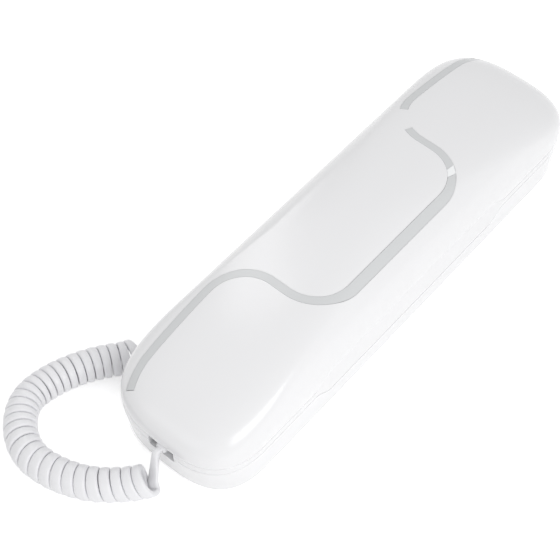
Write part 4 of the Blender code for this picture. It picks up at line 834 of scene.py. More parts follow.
    def crown_rings(self, wall: float, count: int, edge: float) -> list[list[Point]]:
        """Rings of the crown from its lower edge up, with a rounded edge at the seam.

        Args:
            wall: How far inside the skin the rings lie.
            count: How many rings follow the edge's own.
            edge: Radius of the edge's rounding, 0 for none.

        Returns:
            Rings of equal length, from low to high.
        """
        height = self.crown_height - wall
        seats = self.outline(self.half_width - wall, self.half_length - wall)
        starts = [(self.shell_seam(y) + self.gap / 2 - self.shell_seam_z) / height for _, y in seats]
        rings = []
        if edge:
            for inset, rise in lip(0.0, edge)[:-1]:
                ring = []
                for i, start in enumerate(starts):
                    width, length, z = self.crown_size(start + edge / height, wall)
                    x, y = self.outline(width - inset, length - inset)[i]
                    ring.append((x, y, z - edge + rise))
                rings.append(ring)
        for k in range(count + 1):
            share = min(self.crown_last, 1 - (1 - k / count) ** self.crown_crowding)
            ring = []
            for i, start in enumerate(starts):
                first = start + edge / height
                width, length, z = self.crown_size(first + (1 - first) * share, wall)
                x, y = self.outline(width, length)[i]
                ring.append((x, y, z))
            rings.append(ring)
        return rings

    def wall_ring(self, inset: float, height: Callable[[float], float], low: bool = False) -> list[Point]:
        """A ring of the handset's rim, drawn in at the grip, less at its lower edge.

        Args:
            inset: How far inside the outline it lies.
            height: Height at each place along the phone.
            low: Whether it is the rim's lower edge.

        Returns:
            The ring.
        """
        depth = self.grip_low_depth if low else self.grip_depth
        ring = []
        for x, y in self.outline(self.half_width - inset, self.half_length - inset):
            ring.append((x - math.copysign(depth * self.ramp(y), x), y, height(y)))
        return ring

    def base_ring(self, inset: float, height: Callable[[float], float]) -> list[Point]:
        """A ring of the base's wall, which draws in towards its back.

        Args:
            inset: How far inside the outline it lies.
            height: Height at each place along the phone.

        Returns:
            The ring.
        """
        ring = []
        for x, y in self.outline(self.half_width - inset, self.half_length - inset):
            z = height(y)
            share = (self.base_seam_z - z) / (self.base_seam_z - self.foot_z)
            narrow = 1 - self.foot_inset_x * share / self.half_width
            short = 1 - self.foot_inset_y * share / self.half_length
            ring.append((x * narrow, y * short, z))
        return ring


FORM = Form()


@dataclass(frozen=True)
class Cup:
    """An ear or mouth cup: a tapering oval hollow that hangs from the handset's plate."""

    middle_y: float
    half_width: float
    corner: float
    half_length: float
    depth: float
    draft: float = 0.002
    floor: float = 0.0018
    power: float = 2.1
    steps: int = 96

    @property
    def face(self) -> float:
        """Height of the cup's outer face."""
        return FORM.base_seam_z + FORM.gap / 2 - self.depth

    @property
    def inside(self) -> float:
        """Height of the cup's inner face."""
        return self.face + self.floor

    def ring(self, grow: float, z: float) -> list[Point]:
        """A ring of the cup, grown outwards.

        Args:
            grow: How far it is grown outwards.
            z: Height.

        Returns:
            The ring.
        """
        straight = self.half_length - self.corner
        ring = rounded((0.0, 0.0), self.half_width + grow, self.corner + grow, self.power, self.steps)
        return [(x, self.middle_y + y + math.copysign(straight, y), z) for x, y in ring]

    def solid(self, grow: float, face: float, top: float, edge: float = 0.0) -> bmesh.types.BMesh:
        """The cup's body from its face up to a height, with the face's edge rounded.

        Args:
            grow: How far it is grown outwards.
            face: Height of its face.
            top: Height of its other end.
            edge: Radius of the face's edge, 0 for none.

        Returns:
            The body's mesh.
        """
        draft = self.draft * (top - face) / self.depth
        rings = []
        if edge:
            rings = [self.ring(grow - self.draft - inset, z) for inset, z in lip(face, edge)]
        else:
            rings = [self.ring(grow - self.draft, face)]
        return lofted(rings + [self.ring(grow - self.draft + draft, top)])


EAR_CUP = Cup(0.080, 0.0165, 0.0165, 0.0165, 0.0057)
MOUTH_CUP = Cup(-0.0832, 0.0120, 0.0100, 0.0173, 0.0042)
CUPS = (EAR_CUP, MOUTH_CUP)


# ---- cord ----
@dataclass(frozen=True)
class Plug:
    """A modular plug: white boot, clear body, latch and four contacts.

    The boot's and the latch's stations are (distance, half width, half height, rise); the
    body's are (distance, taken off its half width, off its half height), from its own tail
    and, where the distance is below zero, from its front.
    """

    name: str
    tail: Point
    inward: Point
    half_width: float = 0.0038
    half_height: float = 0.0025
    front: float = 0.0152
    sides: int = 28
    boot_power: float = 3.0
    boot: tuple[tuple[float, ...], ...] = (
        (0.0, 0.0017, 0.0013, 0.0),
        (0.0006, 0.0021, 0.0016, 0.0),
        (0.0018, 0.0024, 0.00185, 0.0),
        (0.0032, 0.0026, 0.0019, 0.0),
        (0.0040, 0.0027, 0.0019, 0.0),
    )
    body_power: float = 9.0
    body: tuple[Point, ...] = (
        (0.0040, 0.0005, 0.0004),
        (0.0043, 0.0001, 0.0001),
        (0.0048, 0.0, 0.0),
        (-0.0012, 0.0, 0.0),
        (-0.0006, 0.0003, 0.0003),
    )
    latch_power: float = 4.0
    latch: tuple[tuple[float, ...], ...] = (
        (0.0022, 0.0014, 0.00035, 0.0007),
        (0.0030, 0.0015, 0.0004, 0.0005),
        (0.0046, 0.0015, 0.0004, 0.0004),
    )
    contacts: int = 4
    contact_pitch: float = 0.00127
    contact_back: float = 0.0018
    contact_drop: float = 0.0011
    contact_size: Point = (0.0003, 0.0003, 0.0010)
    contact_length: float = 0.0012

    def build(self) -> list[bpy.types.Object]:
        """Build the plug's four pieces.

        Returns:
            The pieces.
        """
        high = self.half_height
        body = []
        for distance, off_wide, off_high in self.body:
            place = distance if distance > 0 else self.front + distance
            body.append((place, self.half_width - off_wide, high - off_high, 0.0))
        latch = [(distance, wide, tall, high - below) for distance, wide, tall, below in self.latch]
        shell = piece(f"{self.name}_plug_body", self._loft(body, self.body_power), PLUG_CLEAR)
        boot = piece(f"{self.name}_plug_boot", self._loft(self.boot, self.boot_power), CORD_WHITE)
        clip = piece(f"{self.name}_plug_latch", self._loft(latch, self.latch_power), CORD_WHITE)
        pins = piece(f"{self.name}_plug_contacts", gathered(self._contacts()), GOLD)
        return [
            settle(shell, self.name, "clear", f"cord_plug_{self.name}"),
            settle(boot, self.name, "cord_white"),
            settle(clip, self.name, "cord_white"),
            settle(pins, self.name, "brass"),
        ]

    def _loft(self, stations: Sequence[Sequence[float]], power: float) -> bmesh.types.BMesh:
        """A body along the plug through (distance, half width, half height, rise) stations.

        Args:
            stations: The stations, from the tail.
            power: How square it is: 2 is an oval.

        Returns:
            The body's mesh.
        """
        tail, inward = Vector(self.tail), Vector(self.inward)
        across = UP.cross(inward)
        rings = []
        for distance, wide, high, rise in stations:
            centre = tail + inward * distance + UP * rise
            shape = rounded((0.0, 0.0), wide, high, power, self.sides)
            rings.append([centre + across * x + UP * z for x, z in shape])
        return lofted(rings)

    def _contacts(self) -> list[bmesh.types.BMesh]:
        """The gold contacts under the plug's front.

        Returns:
            A mesh for each contact.
        """
        tail, inward = Vector(self.tail), Vector(self.inward)
        across = UP.cross(inward)
        size = Vector(self.contact_size)
        size += Vector((abs(inward.x), abs(inward.y), 0.0)) * self.contact_length
        parts = []
        for i in range(self.contacts):
            aside = self.contact_pitch * (i - (self.contacts - 1) / 2)
            middle = tail + inward * (self.front - self.contact_back) + across * aside
            middle -= UP * (self.half_height - self.contact_drop)
            parts.append(block(tuple(middle - size / 2), tuple(middle + size / 2)))
        return parts


@dataclass(frozen=True)
class CurlyCord:
    """The handset cord: a lead from each plug and the coil between them, in one tube."""

    diameter: float = 0.0122
    lift: float = 0.0002
    band_width: float = 0.0044
    band_thickness: float = 0.0023
    least_thickness: float = 0.0015
    band_gap: float = 0.00016
    band_power: float = 3.6
    band_sides: int = 18
    per_curl: int = 20
    turns: float = 30.65
    start_angle: float = math.radians(-125)
    lean: float = math.radians(9)
    pitches: tuple[Plan, ...] = ((0.044, 0.00407), (0.058, 0.0030), (0.076, 0.0030), (0.086, 0.0034))
    curve_steps: int = 24
    coil_step: float = 0.0005
    lead_step: float = 0.0008
    look: float = 0.001
    route: tuple[Point, ...] = (
        (0.0031, -0.1140, 0.0013),
        (-0.0001, -0.1175, 0.0004),
        (-0.0036, -0.1209, 0.0),
        (-0.0072, -0.1241, 0.0),
        (-0.0117, -0.1272, 0.0),
        (-0.0170, -0.1298, 0.0),
        (-0.0227, -0.1317, 0.0),
        (-0.0284, -0.1327, 0.0),
        (-0.0336, -0.1328, 0.0),
        (-0.0390, -0.1314, 0.0),
        (-0.0438, -0.1286, 0.0),
        (-0.0478, -0.1246, 0.0),
        (-0.0504, -0.1202, 0.0),
        (-0.0514, -0.1154, 0.0),
        (-0.0508, -0.1096, 0.0),
        (-0.0489, -0.1028, 0.0),
        (-0.0459, -0.0962, 0.0),
        (-0.0425, -0.0906, 0.0),
        (-0.0391, -0.0860, 0.0),
        (-0.0364, -0.0822, 0.0),
        (-0.0352, -0.0785, 0.0),
        (-0.0351, -0.0740, 0.0),
    )
    lead_width: float = 0.0022
    drop: tuple[Point, ...] = (
        (0.0018, -0.1086, 0.0122),
        (0.0024, -0.1101, 0.0078),
        (0.0033, -0.1119, 0.0042),
    )
    handset_tail: Point = (0.0015, -0.1054, 0.01605)
    handset_out: Point = (0.0, -0.0018, 0.0)
    turn_in: float = 0.0016
    base_tail: Point = (-0.03165, -0.0650, 0.0082)
    base_out: tuple[Point, ...] = ((-0.0023, 0.0, 0.0), (-0.0027, -0.0028, -0.0020))
    coil_out: tuple[float, float] = (0.0032, 0.0018)
    coil_aside: Point = (-0.0002, 0.0030, 0.0)
    length: float = 1.0

    def build(self) -> list[bpy.types.Object]:
        """Returns:
            The tube and the plugs' pieces.
        """
        points, ways = self._helix()
        sections = self._sections(points, ways)
        handset = self._lead(self._handset_controls(points), Vector((-1, 0, 0)), ways[0], sections[0])
        base = self._lead(self._base_controls(points), Vector((0, 1, 0)), ways[-1], sections[-1])
        line = handset[:-1] + list(zip(points, ways, sections)) + list(reversed(base[:-1]))
        rings = self._band(line)
        tube = piece("curly_cord", lofted(rings), CORD_WHITE)
        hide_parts("cord_coil", "cord_lead_handset", "cord_lead_base")
        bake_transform(tube)
        plugs = Plug("handset", self.handset_tail, (0.0, 1.0, 0.0)).build()
        plugs += Plug("base", self.base_tail, (1.0, 0.0, 0.0)).build()
        return [tube, *plugs]

    def _smooth(self, controls: Sequence[Vector], step: float) -> list[Vector]:
        """Points on a smooth curve through the controls, about a step apart.

        Args:
            controls: Points that the curve passes.
            step: Distance between its points.

        Returns:
            The curve's points.
        """
        ends = [controls[0] * 2 - controls[1], *controls, controls[-1] * 2 - controls[-2]]
        dense = []
        for a, b, c, d in zip(ends, ends[1:], ends[2:], ends[3:]):
            for t in steps_of(self.curve_steps)[:-1]:
                square, cube = 2 * a - 5 * b + 4 * c - d, 3 * b - a - 3 * c + d
                dense.append(0.5 * (2 * b + (c - a) * t + square * t**2 + cube * t**3))
        dense.append(controls[-1])
        lengths = self._lengths(dense)
        count = max(2, round(lengths[-1] / step))
        return [self._at(dense, lengths, lengths[-1] * i / count) for i in range(count + 1)]

    @staticmethod
    def _lengths(points: Sequence[Vector]) -> list[float]:
        """Distance along a polyline at each of its points.

        Args:
            points: The polyline.

        Returns:
            A distance for each point.
        """
        lengths = [0.0]
        for before, after in zip(points, points[1:]):
            lengths.append(lengths[-1] + (after - before).length)
        return lengths

    @staticmethod
    def _at(points: Sequence[Vector], lengths: Sequence[float], distance: float) -> Vector:
        """The point at a distance along a polyline."""
        for i in range(1, len(points)):
            if lengths[i] >= distance or i == len(points) - 1:
                span = max(lengths[i] - lengths[i - 1], SMALL)
                return points[i - 1].lerp(points[i], min(1.0, (distance - lengths[i - 1]) / span))
        return points[-1]

    def _pitch(self, distance: float) -> float:
        """Advance of one curl at a distance from the coil's first end.

        Args:
            distance: How far along the coil.

        Returns:
            The advance.
        """
        if distance <= self.pitches[0][0]:
            return self.pitches[0][1]
        for (start, before), (end, after) in zip(self.pitches, self.pitches[1:]):
            if distance < end:
                return before + (after - before) * eased((distance - start) / (end - start))
        return self.pitches[-1][1]

    def _helix(self) -> tuple[list[Vector], list[Vector]]:
        """Middle of the band along the coil, with the way in which it is broad at each point.

        Returns:
            The points and the ways.
        """
        rest = self.diameter / 2 + self.lift
        route = self._smooth([Vector((x, y, rest + lift)) for x, y, lift in self.route], self.coil_step)
        lengths = self._lengths(route)
        radius = (self.diameter - self.band_thickness) / 2
        points, ways = [], []
        distance = 0.0
        for i in range(round(self.turns * self.per_curl) + 1):
            angle = self.start_angle - 2 * math.pi * i / self.per_curl
            middle = self._at(route, lengths, distance)
            ahead = self._at(route, lengths, min(distance + self.look, lengths[-1]))
            behind = self._at(route, lengths, max(distance - self.look, 0.0))
            along = (ahead - behind).normalized()
            side = along.cross(UP).normalized()
            rise = side.cross(along) * math.cos(self.lean) + along * math.sin(self.lean)
            across, up = radius * math.cos(angle), radius * math.sin(angle)
            points.append(middle + side * across + rise * up)
            ways.append(rise.cross(side).normalized())
            distance += self._pitch(distance) / self.per_curl
        return points, ways

    def _sections(self, points: Sequence[Vector], ways: Sequence[Vector]) -> list[Plan]:
        """Width and thickness of the band at each point, so that neighbouring curls keep their gap.

        Args:
            points: The coil's points.
            ways: The ways in which the band is broad.

        Returns:
            Width and thickness at each point.
        """
        sections = []
        turn, last = self.per_curl, len(points) - 1
        for i in range(len(points)):
            step = turn if i + turn <= last else -turn
            advance = abs((points[i + step] - points[i]).dot((ways[i] + ways[i + step]).normalized()))
            if turn <= i <= last - turn:
                other = abs((points[i] - points[i - turn]).dot((ways[i] + ways[i - turn]).normalized()))
                advance = min(advance, other)
            width = min(self.band_width, advance - self.band_gap)
            sections.append((width, min(self.band_thickness, max(width, self.least_thickness))))
        return sections

    def _handset_controls(self, points: Sequence[Vector]) -> list[Vector]:
        """Controls of the lead that drops from the handset's plug and turns up into the first curl.

        Args:
            points: The coil's points.

        Returns:
            The controls, from the plug.
        """
        start = Vector(self.handset_tail)
        back = (points[0] - points[1]).normalized()
        drop = [Vector(place) for place in self.drop]
        return [start, start + Vector(self.handset_out), *drop, points[0] + back * self.turn_in, points[0]]

    def _base_controls(self, points: Sequence[Vector]) -> list[Vector]:
        """Controls of the lead from the base's plug to the coil.

        Args:
            points: The coil's points.

        Returns:
            The controls, from the plug.
        """
        start = Vector(self.base_tail)
        out = (points[-1] - points[-4]).normalized()
        end = points[-1]
        first, then = self.coil_out
        outside = [start + Vector(place) for place in self.base_out]
        return [start, *outside, end + out * first + Vector(self.coil_aside), end + out * then, end]

    def _lead(
        self, controls: Sequence[Vector], first: Vector, last: Vector, section: Plan
    ) -> list[tuple[Vector, Vector, Plan]]:
        """Points of a flat lead whose band turns from one way to another along its route.

        Args:
            controls: Points that it passes.
            first: The way in which it is broad at its plug.
            last: The same at the coil.
            section: Width and thickness at the coil.

        Returns:
            Point, way and section at each step.
        """
        route = self._smooth(controls, self.lead_step)
        line = []
        for i, point in enumerate(route):
            share = i / (len(route) - 1)
            width = self.lead_width + (section[0] - self.lead_width) * share
            height = self.band_thickness + (section[1] - self.band_thickness) * share
            line.append((point, first.lerp(last, share), (width, height)))
        return line

    def _band(self, line: Sequence[tuple[Vector, Vector, Plan]]) -> list[Ring]:
        """Rings of a flat tube with round edges.

        Args:
            line: Point, way and section at each step.

        Returns:
            The rings.
        """
        rings = []
        for i, (point, way, (width, height)) in enumerate(line):
            before, after = line[max(i - 1, 0)][0], line[min(i + 1, len(line) - 1)][0]
            along = (after - before).normalized()
            broad = (way - along * way.dot(along)).normalized()
            thick = along.cross(broad)
            shape = rounded((0.0, 0.0), width / 2, height / 2, self.band_power, self.band_sides)
            rings.append([point + broad * across + thick * up for across, up in shape])
        return rings


# ---- handset ----
@dataclass(frozen=True)
class Ribbon:
    """The silver-grey ribbon let into the front shell.

    Its route on plan has four legs on each side of its middle: a straight on the right
    side, two bends and the run to the end. The mouth end's legs count below zero.
    """

    right_x: float = 0.0192
    left_x: float = -0.0195
    cross_y: float = 0.0415
    bend: float = 0.0162
    end_y: float = 0.0995
    end_pull: float = 0.0024
    end_run: float = 0.012
    width: float = 0.0034
    narrow: float = 0.0028
    proud_of_cad: float = 0.0001
    thickness: float = 0.0007
    groove: float = 0.0011
    clearance: float = 0.0002
    legs: int = 4
    leg_steps: tuple[int, ...] = (12, 20, 20, 24)
    lamp_leg: float = 1.51
    lamp_half: float = 0.07
    lamp_slant: float = 0.04
    break_start: float = 2.27
    break_end: float = 2.70
    end_gap: float = 0.004
    guide_radius: float = 0.0011
    guide_length: float = 0.015
    guide_tip: float = 0.001
    guide_taper: float = 0.85
    guide_sides: int = 40
    bore_depth: float = 0.004
    side_step: float = 0.016
    shares: tuple[float, ...] = (-1, -0.5, 0, 0.5, 1)

    def point(self, leg: float) -> Plan:
        """A point of the route at a place along its legs.

        Args:
            leg: Place along the legs.

        Returns:
            The point.
        """
        at, side = abs(leg), -1.0 if leg < 0 else 1.0
        bend_y, left_y = self.cross_y - self.bend, self.cross_y + self.bend
        if at <= 1:
            return self.right_x, side * bend_y * at
        if at <= 2:
            angle = math.pi / 2 * (at - 1)
            x = self.right_x - self.bend + self.bend * math.cos(angle)
            return x, side * (bend_y + self.bend * math.sin(angle))
        if at <= 3:
            angle = math.pi / 2 * (at - 2)
            x = self.left_x + self.bend - self.bend * math.sin(angle)
            return x, side * (left_y - self.bend * math.cos(angle))
        y = left_y + (self.end_y - left_y) * (at - 3)
        pull = max(0.0, y - self.end_y + self.end_run) / self.end_run
        return self.left_x + self.end_pull * pull**2, side * y

    def half_width(self, leg: float) -> float:
        """Half of the ribbon's width at a place along its route."""
        return (self.width - (self.width - self.narrow) * eased(within((abs(leg) - 1) * 2))) / 2

    def _side(self, leg: float) -> Vector:
        """Unit vector to the right of the route.

        Args:
            leg: Place along the legs.

        Returns:
            The direction.
        """
        before = self.point(max(leg - self.side_step, -self.legs))
        after = self.point(min(leg + self.side_step, self.legs))
        along = Vector((after[0] - before[0], after[1] - before[1], 0.0)).normalized()
        return Vector((along.y, -along.x, 0.0))

    def places(self, start: float, end: float) -> list[float]:
        """Places along the route from one to another, with the legs' own points between them.

        Args:
            start: Where along the route it starts.
            end: Where it ends.

        Returns:
            The places, in order.
        """
        half = [i + share for i in range(self.legs) for share in steps_of(self.leg_steps[i])]
        places = [side * place for side in (-1, 1) for place in half]
        margin = self.end_gap + self.lamp_slant
        inner = {round(place, 4) for place in places if start + margin < place < end - margin}
        return [start, *sorted(inner), end]

    def strip(self, start: float, end: float, grow: float, above: float, below: float) -> bmesh.types.BMesh:
        """A strip that follows the crown.

        Args:
            start: Where along the route it starts.
            end: Where it ends.
            grow: How much wider it is than the ribbon, on each side.
            above: How far it stands over the skin.
            below: How far it reaches under the skin.

        Returns:
            The strip's mesh.
        """
        rings = []
        for leg in self.places(start, end):
            off_lamp = abs(abs(leg - self.lamp_leg) - self.lamp_half)
            by_lamp = leg in (start, end) and off_lamp < 2 * self.end_gap
            edges = []
            for share in self.shares:
                place = leg + (self.lamp_slant * share if by_lamp else 0.0)
                reach = self._side(place) * ((self.half_width(leg) + grow) * share)
                x, y = self.point(place)
                edges.append(FORM.crown_point(x + reach.x, y + reach.y))
            low = [point - normal * below for point, normal in edges]
            rings.append(low + [point + normal * above for point, normal in reversed(edges)])
        return lofted(rings)

    def grooves(self) -> list[bmesh.types.BMesh]:
        """Cutters for the ribbon's two grooves."""
        stretches = ((-self.legs, self.break_start), (self.break_end, self.legs))
        return [self.strip(start, end, self.clearance, CUT, self.groove) for start, end in stretches]

    def guide_bore(self) -> bmesh.types.BMesh:
        """A cutter for the hole under the lamp's window.

        Returns:
            The cutter.
        """
        place = self.point(self.lamp_leg)
        top = FORM.crown_z(*place)
        radius = self.guide_radius + FORM.gap
        return turned(place, ((radius, top - self.bore_depth), (radius, top + CUT)), self.guide_sides)

    def build(self) -> list[bpy.types.Object]:
        """Build the ribbon's three stretches and the lamp's window.

        Returns:
            The pieces.
        """
        low, high = self.lamp_leg - self.lamp_half, self.lamp_leg + self.lamp_half
        made = []
        for name, node, start, end in (
            ("ribbon", "ribbon_inlay", -self.legs, low),
            ("ribbon_bend", "ribbon_inlay_bend", high, self.break_start),
            ("ribbon_end", "ribbon_inlay_end", self.break_end, self.legs),
        ):
            start, end = start + self.end_gap, end - self.end_gap
            strip = self.strip(start, end, self.proud_of_cad, 0.0, self.thickness)
            made.append(settle(piece(name, strip, RIBBON_GREY), "handset", "ribbon_grey", node))
        x, y = self.point(self.lamp_leg)
        foot = FORM.crown_z(x, y) - self.guide_length
        edge = foot + self.guide_length - self.thickness / 2
        radius = self.guide_radius
        stations = ((radius * self.guide_taper, foot), (radius, foot + self.guide_tip), (radius, edge))
        guide = turned((x, y), stations, self.guide_sides)
        top = self.strip(low, high, self.proud_of_cad, 0.0, self.thickness)
        window = piece("lamp_window", gathered([guide, top]), LAMP_CLEAR)
        made.append(settle(window, "handset", "clear", "ring_lamp_window"))
        return made


@dataclass(frozen=True)
class FrontShell:
    """The arched outer shell of the handset."""

    ribbon: Ribbon
    edge: float = 0.00025
    rings: int = 44
    inner_rings: int = 14

    def build(self) -> list[bpy.types.Object]:
        """Build the shell with the ribbon's groove and the lamp's hole.

        Returns:
            The shell.
        """
        shell = piece("front_shell", self._body(), SHELL_WHITE)
        donor = piece("front_shell_uncut", self._body(), SHELL_WHITE)
        combine(shell, self.ribbon.grooves(), Joining.CUT_OUT)
        combine(shell, [self.ribbon.guide_bore()], Joining.CUT_OUT)
        normals_from(shell, donor)
        return [settle(shell, "handset", "shell_white", "handset_front_shell")]

    def _body(self) -> bmesh.types.BMesh:
        """The shell before its cuts.

        Returns:
            The shell's mesh.
        """
        outer = FORM.crown_rings(0.0, self.rings, self.edge)
        inner = FORM.crown_rings(FORM.wall, self.inner_rings, 0.0)
        return tray(list(reversed(inner)) + outer)


# The function keys' bars: how far off the key's middle each lies, and half its width and height.
MARKS: dict[str, tuple[tuple[float, ...], ...]] = {
    "flash": ((0.0, 0.0, 0.0016, 0.0003),),
    "mute": ((0.0, 0.0, 0.0016, 0.0003), (0.0, 0.0, 0.0003, 0.0013)),
    "redial": ((0.0, 0.0007, 0.0016, 0.0003), (0.0, -0.0007, 0.0016, 0.0003)),
}
SIGNS: dict[str, str] = {"star": "*", "hash": "#"}


@dataclass(frozen=True)
class Keypad:
    """Fifteen keys in the handset's inner face, which point down."""

    pitch_x: float = 0.0140
    pitch_y: float = 0.0120
    top_y: float = 0.0280
    function_y: float = -0.0220
    half_width: float = 0.0052
    half_height: float = 0.0037
    function_half_height: float = 0.0026
    power: float = 3.2
    proud: float = 0.0008
    flange: float = 0.0009
    flange_margin: float = 0.0008
    sides: int = 44
    hole: tuple[Plan, ...] = ((0.0009, -0.0001), (0.0005, 0.0002), (0.0003, 0.0006), (0.0003, 0.003))
    dish: tuple[Plan, ...] = (
        (0.2, 0.00012),
        (0.5, 0.0001),
        (0.74, 0.00003),
        (0.86, 0.0),
        (0.93, 0.0001),
        (0.975, 0.00028),
        (1.0, 0.00055),
    )
    digit_height: float = 0.0052
    digit_curve: int = 5
    ink: float = 0.00006
    ink_step: float = 0.00001
    mark_power: float = 4.0
    mark_sides: int = 24
    names: tuple[tuple[str, ...], ...] = (
        ("key_1", "key_2", "key_3"),
        ("key_4", "key_5", "key_6"),
        ("key_7", "key_8", "key_9"),
        ("key_star", "key_0", "key_hash"),
    )
    functions: tuple[str, ...] = ("key_flash", "key_mute", "key_redial")

    def places(self) -> list[tuple[str, float, float, float]]:
        """Name, x, y and half height of each key.

        Returns:
            A row for each key.
        """
        rows = [
            (names, self.top_y - i * self.pitch_y, self.half_height) for i, names in enumerate(self.names)
        ]
        rows.append((self.functions, self.function_y, self.function_half_height))
        return [
            (name, (1 - column) * self.pitch_x, y, half)
            for names, y, half in rows
            for column, name in enumerate(names)
        ]

    def ring(self, x: float, y: float, half_width: float, half_height: float, z: float) -> list[Point]:
        """A rounded rectangle round a key."""
        shape = rounded((x, y), half_width, half_height, self.power, self.sides)
        return [(px, py, z) for px, py in shape]

    def holes(self) -> list[bmesh.types.BMesh]:
        """Cutters for the keys' holes in the plate.

        Returns:
            A cutter for each key.
        """
        cuts = []
        plate = FORM.plate(0.0)
        outside = (self.hole[0][0], -CUT / 2)
        for _, x, y, half in self.places():
            rings = []
            for grow, z in (outside, *self.hole):
                rings.append(self.ring(x, y, self.half_width + grow, half + grow, plate + z))
            cuts.append(lofted(rings))
        return cuts

    def build(self) -> list[bpy.types.Object]:
        """Build each key with its legend.

        Returns:
            The keys.
        """
        made = []
        for name, x, y, half in self.places():
            key = piece(f"{name}_cap", self._key(x, y, half), KEY_GREY)
            legend = self._legend(name, x, y)
            legend.parent = key
            body = name.replace("key_", "button_")
            settle(key, body, "key_grey", name)
            made.append(key)
        return made

    def _key(self, x: float, y: float, half: float) -> bmesh.types.BMesh:
        """A key with a dished face, soft edges and a flange behind the plate.

        Args:
            x: Place across the phone.
            y: Place along the phone.
            half: Half of its height.

        Returns:
            The key's mesh.
        """
        face = FORM.plate(0.0) - self.proud
        flange = FORM.plate_inside(0.0) + FORM.gap
        rings = []
        for share, rise in self.dish:
            rings.append(self.ring(x, y, self.half_width * share, half * share, face + rise))
        rings.append(self.ring(x, y, self.half_width, half, flange))
        wide, high = self.half_width + self.flange_margin, half + self.flange_margin
        rings.append(self.ring(x, y, wide, high, flange))
        rings.append(self.ring(x, y, wide, high, flange + self.flange))
        return lofted(rings)

    def _legend(self, name: str, x: float, y: float) -> bpy.types.Object:
        """A digit or a plain mark printed on the key's face.

        Args:
            name: Name of the key.
            x: Place across the phone.
            y: Place along the phone.

        Returns:
            The legend.
        """
        z = FORM.plate(0.0) - self.proud + self.dish[0][1]
        mark = name.replace("key_", "")
        if mark in MARKS:
            return piece(f"{name}_mark", self._mark(mark, x, y, z), LEGEND_DARK)
        text = bpy.data.curves.new(f"{name}_text", "FONT")
        text.body = SIGNS.get(mark, mark)
        text.size = self.digit_height
        text.align_x = "CENTER"
        text.align_y = "CENTER"
        text.extrude = self.ink
        text.resolution_u = self.digit_curve
        obj = bpy.data.objects.new(f"{name}_text", text)
        bpy.context.scene.collection.objects.link(obj)
        obj.matrix_world = Matrix.Translation((x, y, z)) @ Matrix.Rotation(math.pi, 4, "Y")
        bpy.context.view_layer.update()
        graph = bpy.context.evaluated_depsgraph_get()
        mesh = bpy.data.meshes.new_from_object(obj.evaluated_get(graph))
        mesh.transform(obj.matrix_world)
        bpy.data.objects.remove(obj, do_unlink=True)
        legend = bpy.data.objects.new(f"{name}_legend", mesh)
        mesh.materials.clear()
        mesh.materials.append(LEGEND_DARK.material())
        bpy.context.scene.collection.objects.link(legend)
        return legend

    def _mark(self, kind: str, x: float, y: float, z: float) -> bmesh.types.BMesh:
        """A bar, a crossed bar or two bars, for the function keys.

        Args:
            kind: What the key does.
            x: Place across the phone.
            y: Place along the phone.
            z: Height.

        Returns:
            The mark's mesh.
        """
        parts = []
        for i, (dx, dy, half_x, half_y) in enumerate(MARKS[kind]):
            rise = self.ink + self.ink_step * i
            ring = rounded((x + dx, y + dy), half_x, half_y, self.mark_power, self.mark_sides)
            parts.append(lofted([[(px, py, z + side * rise) for px, py in ring] for side in (-1, 1)]))
        return gathered(parts)


